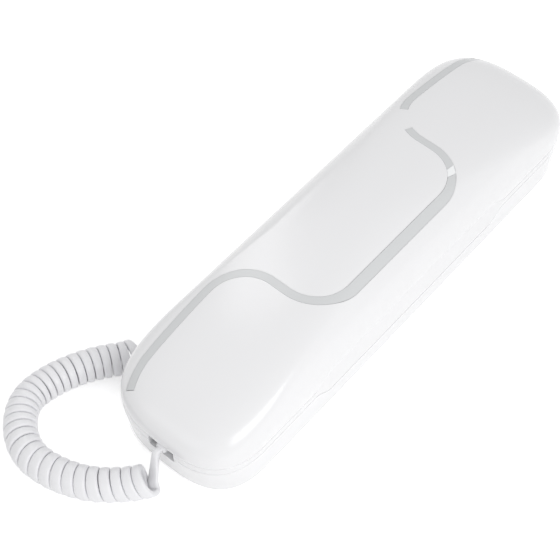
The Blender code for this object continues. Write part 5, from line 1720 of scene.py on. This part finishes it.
@dataclass(frozen=True)
class BackShell:
    """The handset's inner half: rim with finger grips, plate, ear cup and mouth cup."""

    keypad: Keypad
    edge: float = 0.00025
    cup_edge: float = 0.0006
    notch_x: float = 0.0015
    notch_half_width: float = 0.0056
    notch_end: float = 0.0098
    screw_y: tuple[float, ...] = (0.059, -0.061)
    screw_hole: tuple[Plan, ...] = ((0.0029, -0.002), (0.0029, 0.0014), (0.0016, 0.0014), (0.0016, 0.004))
    ear_holes: int = 6
    ear_reach: float = 0.0048
    ear_hole: Point = (0.0015, 0.0010, 0.0005)
    mouth_holes: Point = (-0.0040, 0.0, 0.0040)
    mouth_off: float = 0.0057
    mouth_hole: Point = (0.0012, 0.0008, 0.0004)
    hole_sides: int = 28
    screw_sides: int = 40

    def build(self) -> list[bpy.types.Object]:
        """Build the shell with its cups, holes and notch.

        Returns:
            The shell.
        """
        outer = [
            FORM.wall_ring(inset, lambda y, r=rise: FORM.plate(y) + r, True)
            for inset, rise in lip(0.0, self.edge)
        ]
        upper = [
            FORM.wall_ring(inset, lambda y, r=rise: FORM.rim(y) + r)
            for inset, rise in lip(0.0, -self.edge)
        ]
        inner = [FORM.wall_ring(FORM.wall, FORM.rim), FORM.wall_ring(FORM.wall, FORM.plate_inside)]
        shell = piece("back_shell", tray(outer + upper[::-1] + inner), SHELL_WHITE)
        join = FORM.plate(EAR_CUP.middle_y) + FORM.floor / 2
        combine(shell, [cup.solid(0.0, cup.face, join, self.cup_edge) for cup in CUPS], Joining.ADDED)
        above = FORM.plate_inside(EAR_CUP.middle_y) + CUT
        combine(shell, [cup.solid(-FORM.wall, cup.inside, above) for cup in CUPS], Joining.CUT_OUT)
        combine(shell, self.keypad.holes() + self._sound_holes() + self._screw_holes(), Joining.CUT_OUT)
        combine(shell, [self._notch()], Joining.CUT_OUT)
        weighted(shell)
        return [settle(shell, "handset", "shell_white", "handset_back_shell")]

    def _notch(self) -> bmesh.types.BMesh:
        """The opening in the rim that the cord's plug shows in.

        Returns:
            The cutter.
        """
        near, far = -FORM.half_length - CUT, MOUTH_CUP.middle_y - self.notch_end
        low = (self.notch_x - self.notch_half_width, near, MOUTH_CUP.inside)
        high = (self.notch_x + self.notch_half_width, far, FORM.shell_seam_z + CUT)
        return block(low, high)

    def _sound_holes(self) -> list[bmesh.types.BMesh]:
        """Cutters for the holes in the cups.

        Returns:
            The cutters.
        """
        reach = self.ear_reach
        around = [math.pi * i / (self.ear_holes / 2) for i in range(self.ear_holes)]
        places = [(0.0, 0.0)] + [(reach * math.cos(angle), reach * math.sin(angle)) for angle in around]
        cuts = [self._sound_hole(EAR_CUP, x, y, self.ear_hole) for x, y in places]
        for x in self.mouth_holes:
            cuts.append(self._sound_hole(MOUTH_CUP, x, self.mouth_off, self.mouth_hole))
        return cuts

    def _sound_hole(self, cup: Cup, x: float, y: float, size: Point) -> bmesh.types.BMesh:
        """A cutter for one hole, wider and blind at its face.

        Args:
            cup: The cup that it is in.
            x: Place across the phone.
            y: Place along the cup, from its middle.
            size: Wide radius, narrow radius and depth of the wide part.

        Returns:
            The cutter.
        """
        wide, narrow, sunk = size
        stations = (
            (wide, cup.face - CUT / 2),
            (wide, cup.face),
            (narrow, cup.face + sunk),
            (narrow, cup.inside + CUT / 2),
        )
        return turned((x, cup.middle_y + y), stations, self.hole_sides)

    def _screw_holes(self) -> list[bmesh.types.BMesh]:
        """Cutters for the handset's two screws.

        Returns:
            The cutters.
        """
        cuts = []
        for y in self.screw_y:
            stations = [(radius, FORM.plate(y) + rise) for radius, rise in self.screw_hole]
            cuts.append(turned((0.0, y), stations, self.screw_sides))
        return cuts


# ---- base ----
SCREWS: tuple[Plan, ...] = ((-0.0195, 0.0915), (0.0195, 0.0915), (-0.0195, -0.0915), (0.0195, -0.0915))


@dataclass(frozen=True)
class Cradle:
    """Upper half of the base: side wall and the floor that the handset lies on."""

    keypad: Keypad
    edge: float = 0.00025
    foot_edge: float = 0.0006
    well_clearance: float = 0.0006
    well_wall: float = 0.0018
    well_edge: float = 0.0006
    well_top: float = 0.0166
    post_radius: float = 0.0031
    post_foot: float = 0.0029
    post_sides: int = 32
    screw_bore: float = 0.0016
    bore_top: float = 0.0089
    bore_sides: int = 24
    recess_margin: float = 0.003
    recess_depth: float = 0.0014
    recess_power: float = 14.0
    recess_edge: float = 0.0004
    recess_sides: int = 96
    notch: tuple[Point, Point] = ((-0.0041, -0.107, 0.0122), (0.0071, -0.0985, 0.0166))
    plunger: Plan = (0.018, 0.064)
    plunger_hole: tuple[Plan, ...] = ((0.0025, 0.0095), (0.0025, 0.0143), (0.0031, 0.0148), (0.0031, 0.017))
    plunger_sides: int = 40
    line_jack_y: float = 0.0606
    line_jack_width: float = 0.0130
    cord_jack_y: float = -0.0650
    cord_jack_width: float = 0.0106
    jack_low_z: float = 0.0044
    jack_high_z: float = 0.0120
    knob_y: float = -0.033
    knob_z: float = 0.0045
    knob_travel: float = 0.004
    knob_slot: Plan = (0.0015, 0.0011)
    knob_field: Plan = (0.0033, 0.0018)
    knob_field_depth: float = 0.0009

    def build(self) -> list[bpy.types.Object]:
        """Build the cradle with its wells and openings.

        Returns:
            The cradle.
        """
        foot = [FORM.base_ring(inset, lambda y, z=z: z) for inset, z in lip(FORM.foot_z, self.foot_edge)]
        top = [
            FORM.base_ring(inset, lambda y, r=rise: FORM.cradle_top(y) + r)
            for inset, rise in lip(0.0, -self.edge)
        ]
        inner = [FORM.base_ring(FORM.wall, z) for z in (FORM.cradle_underside, lambda y: FORM.foot_z)]
        cover = piece("cradle", tray(inner + foot + top[::-1]), SHELL_WHITE)
        join = FORM.cradle_underside(EAR_CUP.middle_y) + FORM.floor / 2
        grow = self.well_clearance + self.well_wall
        post = ((self.post_radius, self.post_foot), (self.post_radius, join))
        posts = [turned(place, post, self.post_sides) for place in SCREWS]
        combine(cover, [cup.solid(grow, cup.face - grow, join) for cup in CUPS], Joining.ADDED)
        combine(cover, posts, Joining.ADDED)
        clear = self.well_clearance
        hollow = [cup.solid(clear, cup.face - clear, self.well_top, self.well_edge) for cup in CUPS]
        combine(cover, hollow, Joining.CUT_OUT)
        combine(cover, self._openings(), Joining.CUT_OUT)
        weighted(cover)
        return [settle(cover, "base", "shell_white", "cradle_cover")]

    def _openings(self) -> list[bmesh.types.BMesh]:
        """Cutters for the key recess, sockets, plunger, knob, screws and notch.

        Returns:
            The cutters.
        """
        pad = self.keypad
        half_x = pad.pitch_x + pad.half_width + self.recess_margin
        top = pad.top_y + pad.half_height + self.recess_margin
        bottom = pad.function_y - pad.function_half_height - self.recess_margin
        low = (-half_x, bottom, FORM.cradle_top(0.0) - self.recess_depth)
        high = (half_x, top, FORM.base_seam_z + CUT)
        recess = pillow(low, high, self.recess_power, self.recess_edge, self.recess_sides)
        side = -FORM.half_width
        inside = side + FORM.wall + CUT
        cuts = [recess, block(*self.notch)]
        for y, width in ((self.line_jack_y, self.line_jack_width), (self.cord_jack_y, self.cord_jack_width)):
            low = (side - CUT, y - width / 2 - FORM.gap, self.jack_low_z - FORM.gap)
            cuts.append(block(low, (inside, y + width / 2 + FORM.gap, self.jack_high_z + FORM.gap)))
        cuts.append(turned(self.plunger, self.plunger_hole, self.plunger_sides))
        bore = ((self.screw_bore, -CUT), (self.screw_bore, self.bore_top))
        cuts += [turned(place, bore, self.bore_sides) for place in SCREWS]
        slots = []
        field_end = side + self.knob_field_depth
        far_y = self.knob_y + self.knob_travel
        for (half_y, half_z), end in ((self.knob_slot, inside), (self.knob_field, field_end)):
            low = (side - CUT, self.knob_y - half_y, self.knob_z - half_z)
            slots.append(block(low, (end, far_y + half_y, self.knob_z + half_z)))
        return [*cuts, merged(*slots)]


@dataclass(frozen=True)
class RearCover:
    """Flat back of the base, with keyholes, vents, pockets and a bare label field."""

    edge: float = 0.0004
    screw_hole: tuple[Plan, ...] = ((0.0029, -0.002), (0.0029, 0.002), (0.0016, 0.002), (0.0016, 0.005))
    screw_sides: int = 40
    feet: tuple[Plan, ...] = ((-0.017, 0.064), (0.017, 0.064), (-0.017, -0.064), (0.017, -0.064))
    foot_radius: float = 0.0045
    pocket_top: float = 0.0015
    keyhole_y: tuple[float, ...] = (0.0415, -0.0415)
    entry: float = 0.0042
    slot_half: float = 0.0022
    drop: float = 0.007
    keyhole_steps: tuple[int, int] = (40, 20)
    through: Plan = (-0.002, 0.005)
    ringer_y: float = 0.083
    vents: int = 7
    vent_pitch: float = 0.0021
    vent_reach: float = 0.0078
    vent_half: float = 0.0005
    label: tuple[Plan, Plan] = ((-0.016, -0.020), (0.016, 0.014))
    label_depth: float = 0.0003
    label_power: float = 16.0
    label_sides: int = 64
    slit_edge: float = 0.0001
    slit_power: float = 3.0
    slit_sides: int = 24
    foot: tuple[Plan, ...] = (
        (0.18, 0.0001),
        (0.34, 0.0),
        (0.40, 0.00012),
        (0.46, 0.0),
        (0.58, 0.0),
        (0.64, 0.00012),
        (0.70, 0.0),
    )
    foot_rim: tuple[Plan, ...] = ((0.0004, 0.0), (0.00012, 0.00012), (0.0, 0.0004), (0.0, 0.0012))

    def build(self) -> list[bpy.types.Object]:
        """Build the cover and its feet.

        Returns:
            The cover and its feet.
        """
        low, high = FORM.foot_z, FORM.inside_z
        rings = []
        for inset, z in lip(low, self.edge):
            ring = FORM.base_ring(FORM.wall + FORM.gap + inset, lambda y: low)
            rings.append([(x, y, z) for x, y, _ in ring])
        rings.append([(x, y, high) for x, y, _ in rings[-1]])
        cover = piece("back_cover", tray(rings), SATIN_WHITE)
        radius = self.foot_radius + FORM.gap
        cuts = [turned(place, self.screw_hole, self.screw_sides) for place in SCREWS]
        cuts += [turned(place, ((radius, -CUT), (radius, self.pocket_top))) for place in self.feet]
        cuts += [self._keyhole(y) for y in self.keyhole_y]
        cuts += [self._vent((i - self.vents // 2) * self.vent_pitch) for i in range(self.vents)]
        corner, opposite = self.label
        field = (*opposite, low + self.label_depth)
        cuts.append(pillow((*corner, -CUT), field, self.label_power, self.slit_edge, self.label_sides))
        combine(cover, cuts, Joining.CUT_OUT)
        weighted(cover)
        feet = [self._foot(i) for i in range(len(self.feet))]
        return [settle(cover, "base", "satin_white", "rear_cover"), *feet]

    def _vent(self, x: float) -> bmesh.types.BMesh:
        """A cutter for one slit of the ringer's round grille.

        Args:
            x: Place across the phone.

        Returns:
            The cutter.
        """
        half = math.sqrt(max(0.0, self.vent_reach**2 - x * x))
        low, high = self.through
        corner = (x - self.vent_half, self.ringer_y - half, low)
        opposite = (x + self.vent_half, self.ringer_y + half, high)
        return pillow(corner, opposite, self.slit_power, self.slit_edge, self.slit_sides)

    def _keyhole(self, y: float) -> bmesh.types.BMesh:
        """A cutter: a round entry below a narrow slot.

        Args:
            y: Place along the phone.

        Returns:
            The cutter.
        """
        neck = math.asin(self.slot_half / self.entry)
        points = []
        for share in steps_of(self.keyhole_steps[0]):
            angle = math.pi / 2 + neck + (2 * math.pi - 2 * neck) * share
            points.append((self.entry * math.cos(angle), y - self.drop + self.entry * math.sin(angle)))
        for share in steps_of(self.keyhole_steps[1]):
            angle = math.pi * share
            points.append((self.slot_half * math.cos(angle), y + self.slot_half * math.sin(angle)))
        return lofted([[(px, py, z) for px, py in points] for z in self.through])

    def _foot(self, i: int) -> bpy.types.Object:
        """A soft foot with a ringed face.

        Args:
            i: Which foot.

        Returns:
            The foot.
        """
        stations = [(self.foot_radius * share, z) for share, z in self.foot]
        stations += [(self.foot_radius - inset, z) for inset, z in self.foot_rim]
        foot = piece(f"foot_{i + 1}", turned(self.feet[i], stations), RUBBER_GREY)
        return settle(foot, "base", "rubber_grey", f"rubber_foot_{i + 1}")


@dataclass(frozen=True)
class Fittings:
    """Plunger, ringer knob, screws and socket contacts."""

    cradle: Cradle
    plunger_foot: Plan = (0.0038, 0.001)
    plunger_radius: float = 0.0022
    dome: float = 0.0008
    dome_steps: int = 6
    dome_share: float = 0.9
    plunger_sides: int = 40
    ridges: int = 5
    ridge: tuple[Plan, ...] = ((0.0, 0.45), (0.00012, 0.8), (0.0003, 1.0), (0.0004, 1.0))
    ridge_run: Plan = (0.88, 0.12)
    ridge_shape: tuple[float, int] = (4.0, 24)
    slab_shape: tuple[float, int] = (6.0, 40)
    slab_x: Plan = (0.00035, 0.0006)
    stem_half: Plan = (0.0012, 0.0008)
    stem_shape: tuple[float, int] = (4.0, 40)
    stem_end: float = 0.0012
    wires: int = 4
    wire_pitch: float = 0.00127
    wire_radius: float = 0.0002
    wire_sides: int = 10
    wire_z: tuple[float, float] = (0.0006, 0.0003)
    wire: tuple[Plan, ...] = (
        (0.0018, 0.0),
        (0.0045, 0.0002),
        (0.0075, 0.0016),
        (0.0092, 0.0030),
        (0.0100, 0.0033),
    )
    head: tuple[Plan, ...] = (
        (0.0012, 0.0),
        (0.0020, 0.00008),
        (0.0024, 0.00025),
        (0.0026, 0.0006),
        (0.0026, 0.0011),
        (0.0013, 0.0011),
    )
    tip: tuple[Plan, ...] = ((0.0013, 0.0013), (0.0005, 0.0))
    cross: Plan = (0.0014, 0.00032)
    cross_z: Plan = (0.001, 0.0007)
    screw_sides: int = 40

    def build(self) -> list[bpy.types.Object]:
        """Build the small fittings of the base."""
        return [self._plunger(), self._knob(), self._contacts(), *self._screws()]

    def _plunger(self) -> bpy.types.Object:
        """The hook's plunger with a domed end.

        Returns:
            The plunger.
        """
        low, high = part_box("hook_plunger")
        wide, foot = self.plunger_foot
        radius = self.plunger_radius
        stations = [(wide, low.z), (wide, low.z + foot), (radius, low.z + foot), (radius, high.z - self.dome)]
        for share in steps_of(self.dome_steps)[1:]:
            angle = math.pi / 2 * share * self.dome_share
            stations.append((radius * math.cos(angle), high.z - self.dome + self.dome * math.sin(angle)))
        body = turned(self.cradle.plunger, stations, self.plunger_sides)
        plunger = piece("plunger", body, SATIN_WHITE)
        return settle(plunger, "hook", "satin_white", "hook_plunger")

    def _knob(self) -> bpy.types.Object:
        """The ringer knob, ridged for a finger tip.

        Returns:
            The knob.
        """
        low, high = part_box("ringer_knob")
        y, z = (low.y + high.y) / 2, (low.z + high.z) / 2
        half_y, half_z = (high.y - low.y) / 2, (high.z - low.z) / 2
        parts = []
        for i in range(self.ridges):
            middle = low.y + (high.y - low.y) * (i + 0.5) / self.ridges
            half = (high.y - low.y) / self.ridges / 2
            rings = []
            for x, share in self.ridge:
                reach = half_z * (self.ridge_run[0] + self.ridge_run[1] * share)
                ring = rounded((middle, z), half * share, reach, *self.ridge_shape)
                rings.append([(low.x + x, py, pz) for py, pz in ring])
            parts.append(lofted(rings))
        slab = rounded((y, z), half_y, half_z, *self.slab_shape)
        stem = rounded((y, z), *self.stem_half, *self.stem_shape)
        front, back = (low.x + x for x in self.slab_x)
        end = high.x - self.stem_end
        rings = []
        for x, ring in ((front, slab), (back, slab), (back, stem), (end, stem), (end, slab), (high.x, slab)):
            rings.append([(x, py, pz) for py, pz in ring])
        parts.append(lofted(rings))
        return settle(piece("knob", gathered(parts), KEY_GREY), "ringer", "key_grey", "ringer_knob")

    def _contacts(self) -> bpy.types.Object:
        """Sprung wires in the line socket.

        Returns:
            The wires, as one piece.
        """
        low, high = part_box("line_jack")
        y, z = (low.y + high.y) / 2, low.z + self.wire_z[0]
        parts = []
        for i in range(self.wires):
            middle = y + (i - (self.wires - 1) / 2) * self.wire_pitch
            rings = []
            for x, rise in self.wire:
                centre = (middle, z + rise + self.wire_z[1])
                shape = rounded(centre, self.wire_radius, self.wire_radius, 2.0, self.wire_sides)
                rings.append([(low.x + x, py, pz) for py, pz in shape])
            parts.append(lofted(rings))
        return settle(piece("line_contacts", gathered(parts), GOLD), "base", "brass")

    def _screws(self) -> list[bpy.types.Object]:
        """Pan heads with a cross recess.

        Returns:
            The screws.
        """
        made = []
        names = [f"base_screw_{i + 1}" for i in range(len(SCREWS))] + ["handset_screw_1", "handset_screw_2"]
        for name in names:
            low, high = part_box(name)
            centre = ((low.x + high.x) / 2, (low.y + high.y) / 2)
            stations = [(radius, low.z + rise) for radius, rise in self.head]
            stations += [(radius, high.z - back) for radius, back in self.tip]
            screw = piece(f"{name}_head", turned(centre, stations, self.screw_sides), TURNED_STEEL)
            cuts = []
            for half_x, half_y in (self.cross, self.cross[::-1]):
                corner = (centre[0] - half_x, centre[1] - half_y, low.z - self.cross_z[0])
                opposite = (centre[0] + half_x, centre[1] + half_y, low.z + self.cross_z[1])
                cuts.append(block(corner, opposite))
            combine(screw, [merged(*cuts)], Joining.CUT_OUT)
            body = "base" if name.startswith("base") else "handset"
            made.append(settle(screw, body, "steel", name))
        return made


@dataclass(frozen=True)
class Inside:
    """CAD nodes that keep their shape and get a finish."""

    finishes: tuple[tuple[str, Finish], ...] = (
        ("base_circuit_board", BOARD_GREEN),
        ("handset_circuit_board", BOARD_GREEN),
        ("line_jack", DARK_PLASTIC),
        ("base_cord_jack", DARK_PLASTIC),
        ("handset_cord_jack", DARK_PLASTIC),
        ("hook_switch", DARK_PLASTIC),
        ("earpiece_receiver", DARK_PLASTIC),
        ("ballast_plate", STEEL),
        ("handset_weight", STEEL),
        ("hook_spring", TURNED_STEEL),
        ("microphone_capsule", TURNED_STEEL),
        ("ringer_disc", BRASS),
        ("keypad_mat", RUBBER_GREY),
        ("earpiece_gasket", RUBBER_GREY),
        ("microphone_boot", RUBBER_GREY),
        ("ring_lamp_led", LAMP_CLEAR),
    )

    def build(self, nodes: dict[str, bpy.types.Object]) -> list[bpy.types.Object]:
        """Dress the CAD nodes that still show.

        Args:
            nodes: The CAD nodes by name.

        Returns:
            The nodes.
        """
        made = []
        for name, finish in self.finishes:
            node = nodes[name]
            if not node.material_slots:
                node.data.materials.append(finish.material())
            for material_slot in node.material_slots:
                material_slot.material = finish.material()
            made.append(node)
        return made


# ---- studio ----
@dataclass(frozen=True)
class Studio:
    """Camera, lights, floor and surroundings."""

    azimuth: float = math.radians(40.62)
    elevation: float = math.radians(55.70)
    distance: float = 0.5339
    aim: Point = (0.0, 0.0, 0.015)
    slide: Plan = (-0.02707, -0.00939)
    focal_pixels: float = 1448.3
    image_pixels: float = 560.0
    sensor_mm: float = 36.0
    clip: Plan = (0.01, 20.0)
    glow: float = 0.585
    lights: tuple[tuple[str, Point, float, float, float], ...] = (
        ("key", (0.52, -0.18, 0.46), 0.5, 0.3, 2.0),
        ("front", (-0.15, -0.72, 0.42), 0.5, 0.3, 0.3),
        ("left", (-0.58, 0.25, 0.52), 0.15, 0.9, 1.1),
    )
    lit: Point = (0.0, 0.0, 0.02)
    floor_half: float = 1.6
    floor_cells: int = 12
    floor_shine: float = 0.45

    def camera(self) -> bpy.types.Object:
        """Build the camera at the photograph's viewing angle.

        Returns:
            The camera.
        """
        sin_a, cos_a = math.sin(self.azimuth), math.cos(self.azimuth)
        sin_e, cos_e = math.sin(self.elevation), math.cos(self.elevation)
        back = Vector((sin_a * cos_e, -cos_a * cos_e, sin_e))
        right = Vector((cos_a, sin_a, 0.0))
        up = back.cross(right)
        data = bpy.data.cameras.new("camera")
        data.sensor_width = self.sensor_mm
        data.sensor_fit = "HORIZONTAL"
        data.lens = self.focal_pixels / self.image_pixels * self.sensor_mm
        data.clip_start, data.clip_end = self.clip
        camera = bpy.data.objects.new("camera", data)
        place = Vector(self.aim) + back * self.distance + right * self.slide[0] + up * self.slide[1]
        turn = Matrix((right, up, back)).transposed().to_4x4()
        camera.matrix_world = Matrix.Translation(place) @ turn
        bpy.context.scene.collection.objects.link(camera)
        bpy.context.scene.camera = camera
        return camera

    def build(self) -> list[bpy.types.Object]:
        """Build the lights, the floor and the surroundings.

        Returns:
            The lights and the floor.
        """
        bpy.context.scene.view_settings.view_transform = "Standard"
        self._surroundings()
        return [*[self._light(*light) for light in self.lights], self._floor()]

    def _light(
        self, name: str, place: Point, width: float, height: float, power: float
    ) -> bpy.types.Object:
        """A soft rectangular light that faces the phone.

        Args:
            name: Its name.
            place: Where it stands.
            width: Its width.
            height: Its height.
            power: Its power in watts.

        Returns:
            The light.
        """
        data = bpy.data.lights.new(name, "AREA")
        data.shape = "RECTANGLE"
        data.size, data.size_y, data.energy = width, height, power
        light = bpy.data.objects.new(name, data)
        toward = Vector(self.lit) - Vector(place)
        turn = toward.to_track_quat("-Z", "Y").to_matrix().to_4x4()
        light.matrix_world = Matrix.Translation(place) @ turn
        bpy.context.scene.collection.objects.link(light)
        return light

    @staticmethod
    def _seen(tree: bpy.types.NodeTree) -> bpy.types.NodeSocket:
        """1 where a ray comes from the camera, a reflection or clear plastic, so that these see white.

        Args:
            tree: The nodes that it joins.

        Returns:
            The socket that says so.
        """
        path = tree.nodes.new("ShaderNodeLightPath")
        seen = path.outputs["Is Camera Ray"]
        for kind in ("Is Glossy Ray", "Is Transmission Ray"):
            either = tree.nodes.new("ShaderNodeMath")
            either.operation = "MAXIMUM"
            tree.links.new(seen, either.inputs[0])
            tree.links.new(path.outputs[kind], either.inputs[1])
            seen = either.outputs["Value"]
        return seen

    def _surroundings(self) -> None:
        """Pure white behind the phone, and an even white glow on it."""
        world = bpy.data.worlds.new("surroundings")
        bpy.context.scene.world = world
        world.use_nodes = True
        tree = world.node_tree
        glow = tree.nodes["Background"]
        glow.inputs["Color"].default_value = WHITE
        glow.inputs["Strength"].default_value = self.glow
        white = tree.nodes.new("ShaderNodeBackground")
        white.inputs["Color"].default_value = WHITE
        white.inputs["Strength"].default_value = 1.0
        mix = tree.nodes.new("ShaderNodeMixShader")
        tree.links.new(self._seen(tree), mix.inputs["Fac"])
        tree.links.new(glow.outputs["Background"], mix.inputs[1])
        tree.links.new(white.outputs["Background"], mix.inputs[2])
        tree.links.new(mix.outputs["Shader"], tree.nodes["World Output"].inputs["Surface"])

    def _floor(self) -> bpy.types.Object:
        """A plain pale floor that keeps the phone's shadow.

        Returns:
            The floor.
        """
        bm = bmesh.new()
        cells = self.floor_cells
        bmesh.ops.create_grid(bm, x_segments=cells, y_segments=cells, size=self.floor_half)
        mesh = bpy.data.meshes.new("floor")
        bm.to_mesh(mesh)
        bm.free()
        floor = bpy.data.objects.new("floor", mesh)
        material = FLOOR_WHITE.material()
        tree = material.node_tree
        shader = tree.nodes["Principled BSDF"]
        shader.inputs["Emission Color"].default_value = WHITE
        shine = tree.nodes.new("ShaderNodeMapRange")
        shine.inputs["To Max"].default_value = self.floor_shine
        tree.links.new(self._seen(tree), shine.inputs["Value"])
        tree.links.new(shine.outputs["Result"], shader.inputs["Emission Strength"])
        mesh.materials.append(material)
        bpy.context.scene.collection.objects.link(floor)
        return floor


def log_pieces(label: str, made: Sequence[bpy.types.Object]) -> None:
    """Log each piece of a sub-assembly."""
    for obj in made:
        LOG.info("%s: %s", label, obj.name)


def main() -> None:
    """Load the frame and build the phone's looks."""
    logging.basicConfig(level=logging.INFO, format="%(message)s")
    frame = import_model()
    studio = Studio()
    studio.camera()
    keypad = Keypad()
    ribbon = Ribbon()
    cradle = Cradle(keypad)
    log_pieces("cord", CurlyCord().build())
    log_pieces("front shell", FrontShell(ribbon).build())
    log_pieces("ribbon", ribbon.build())
    log_pieces("back shell", BackShell(keypad).build())
    log_pieces("keypad", keypad.build())
    log_pieces("cradle", cradle.build())
    log_pieces("rear cover", RearCover().build())
    log_pieces("fittings", Fittings(cradle).build())
    log_pieces("inside", Inside().build(frame["nodes"]))
    log_pieces("studio", studio.build())


if __name__ == "__main__":
    main()
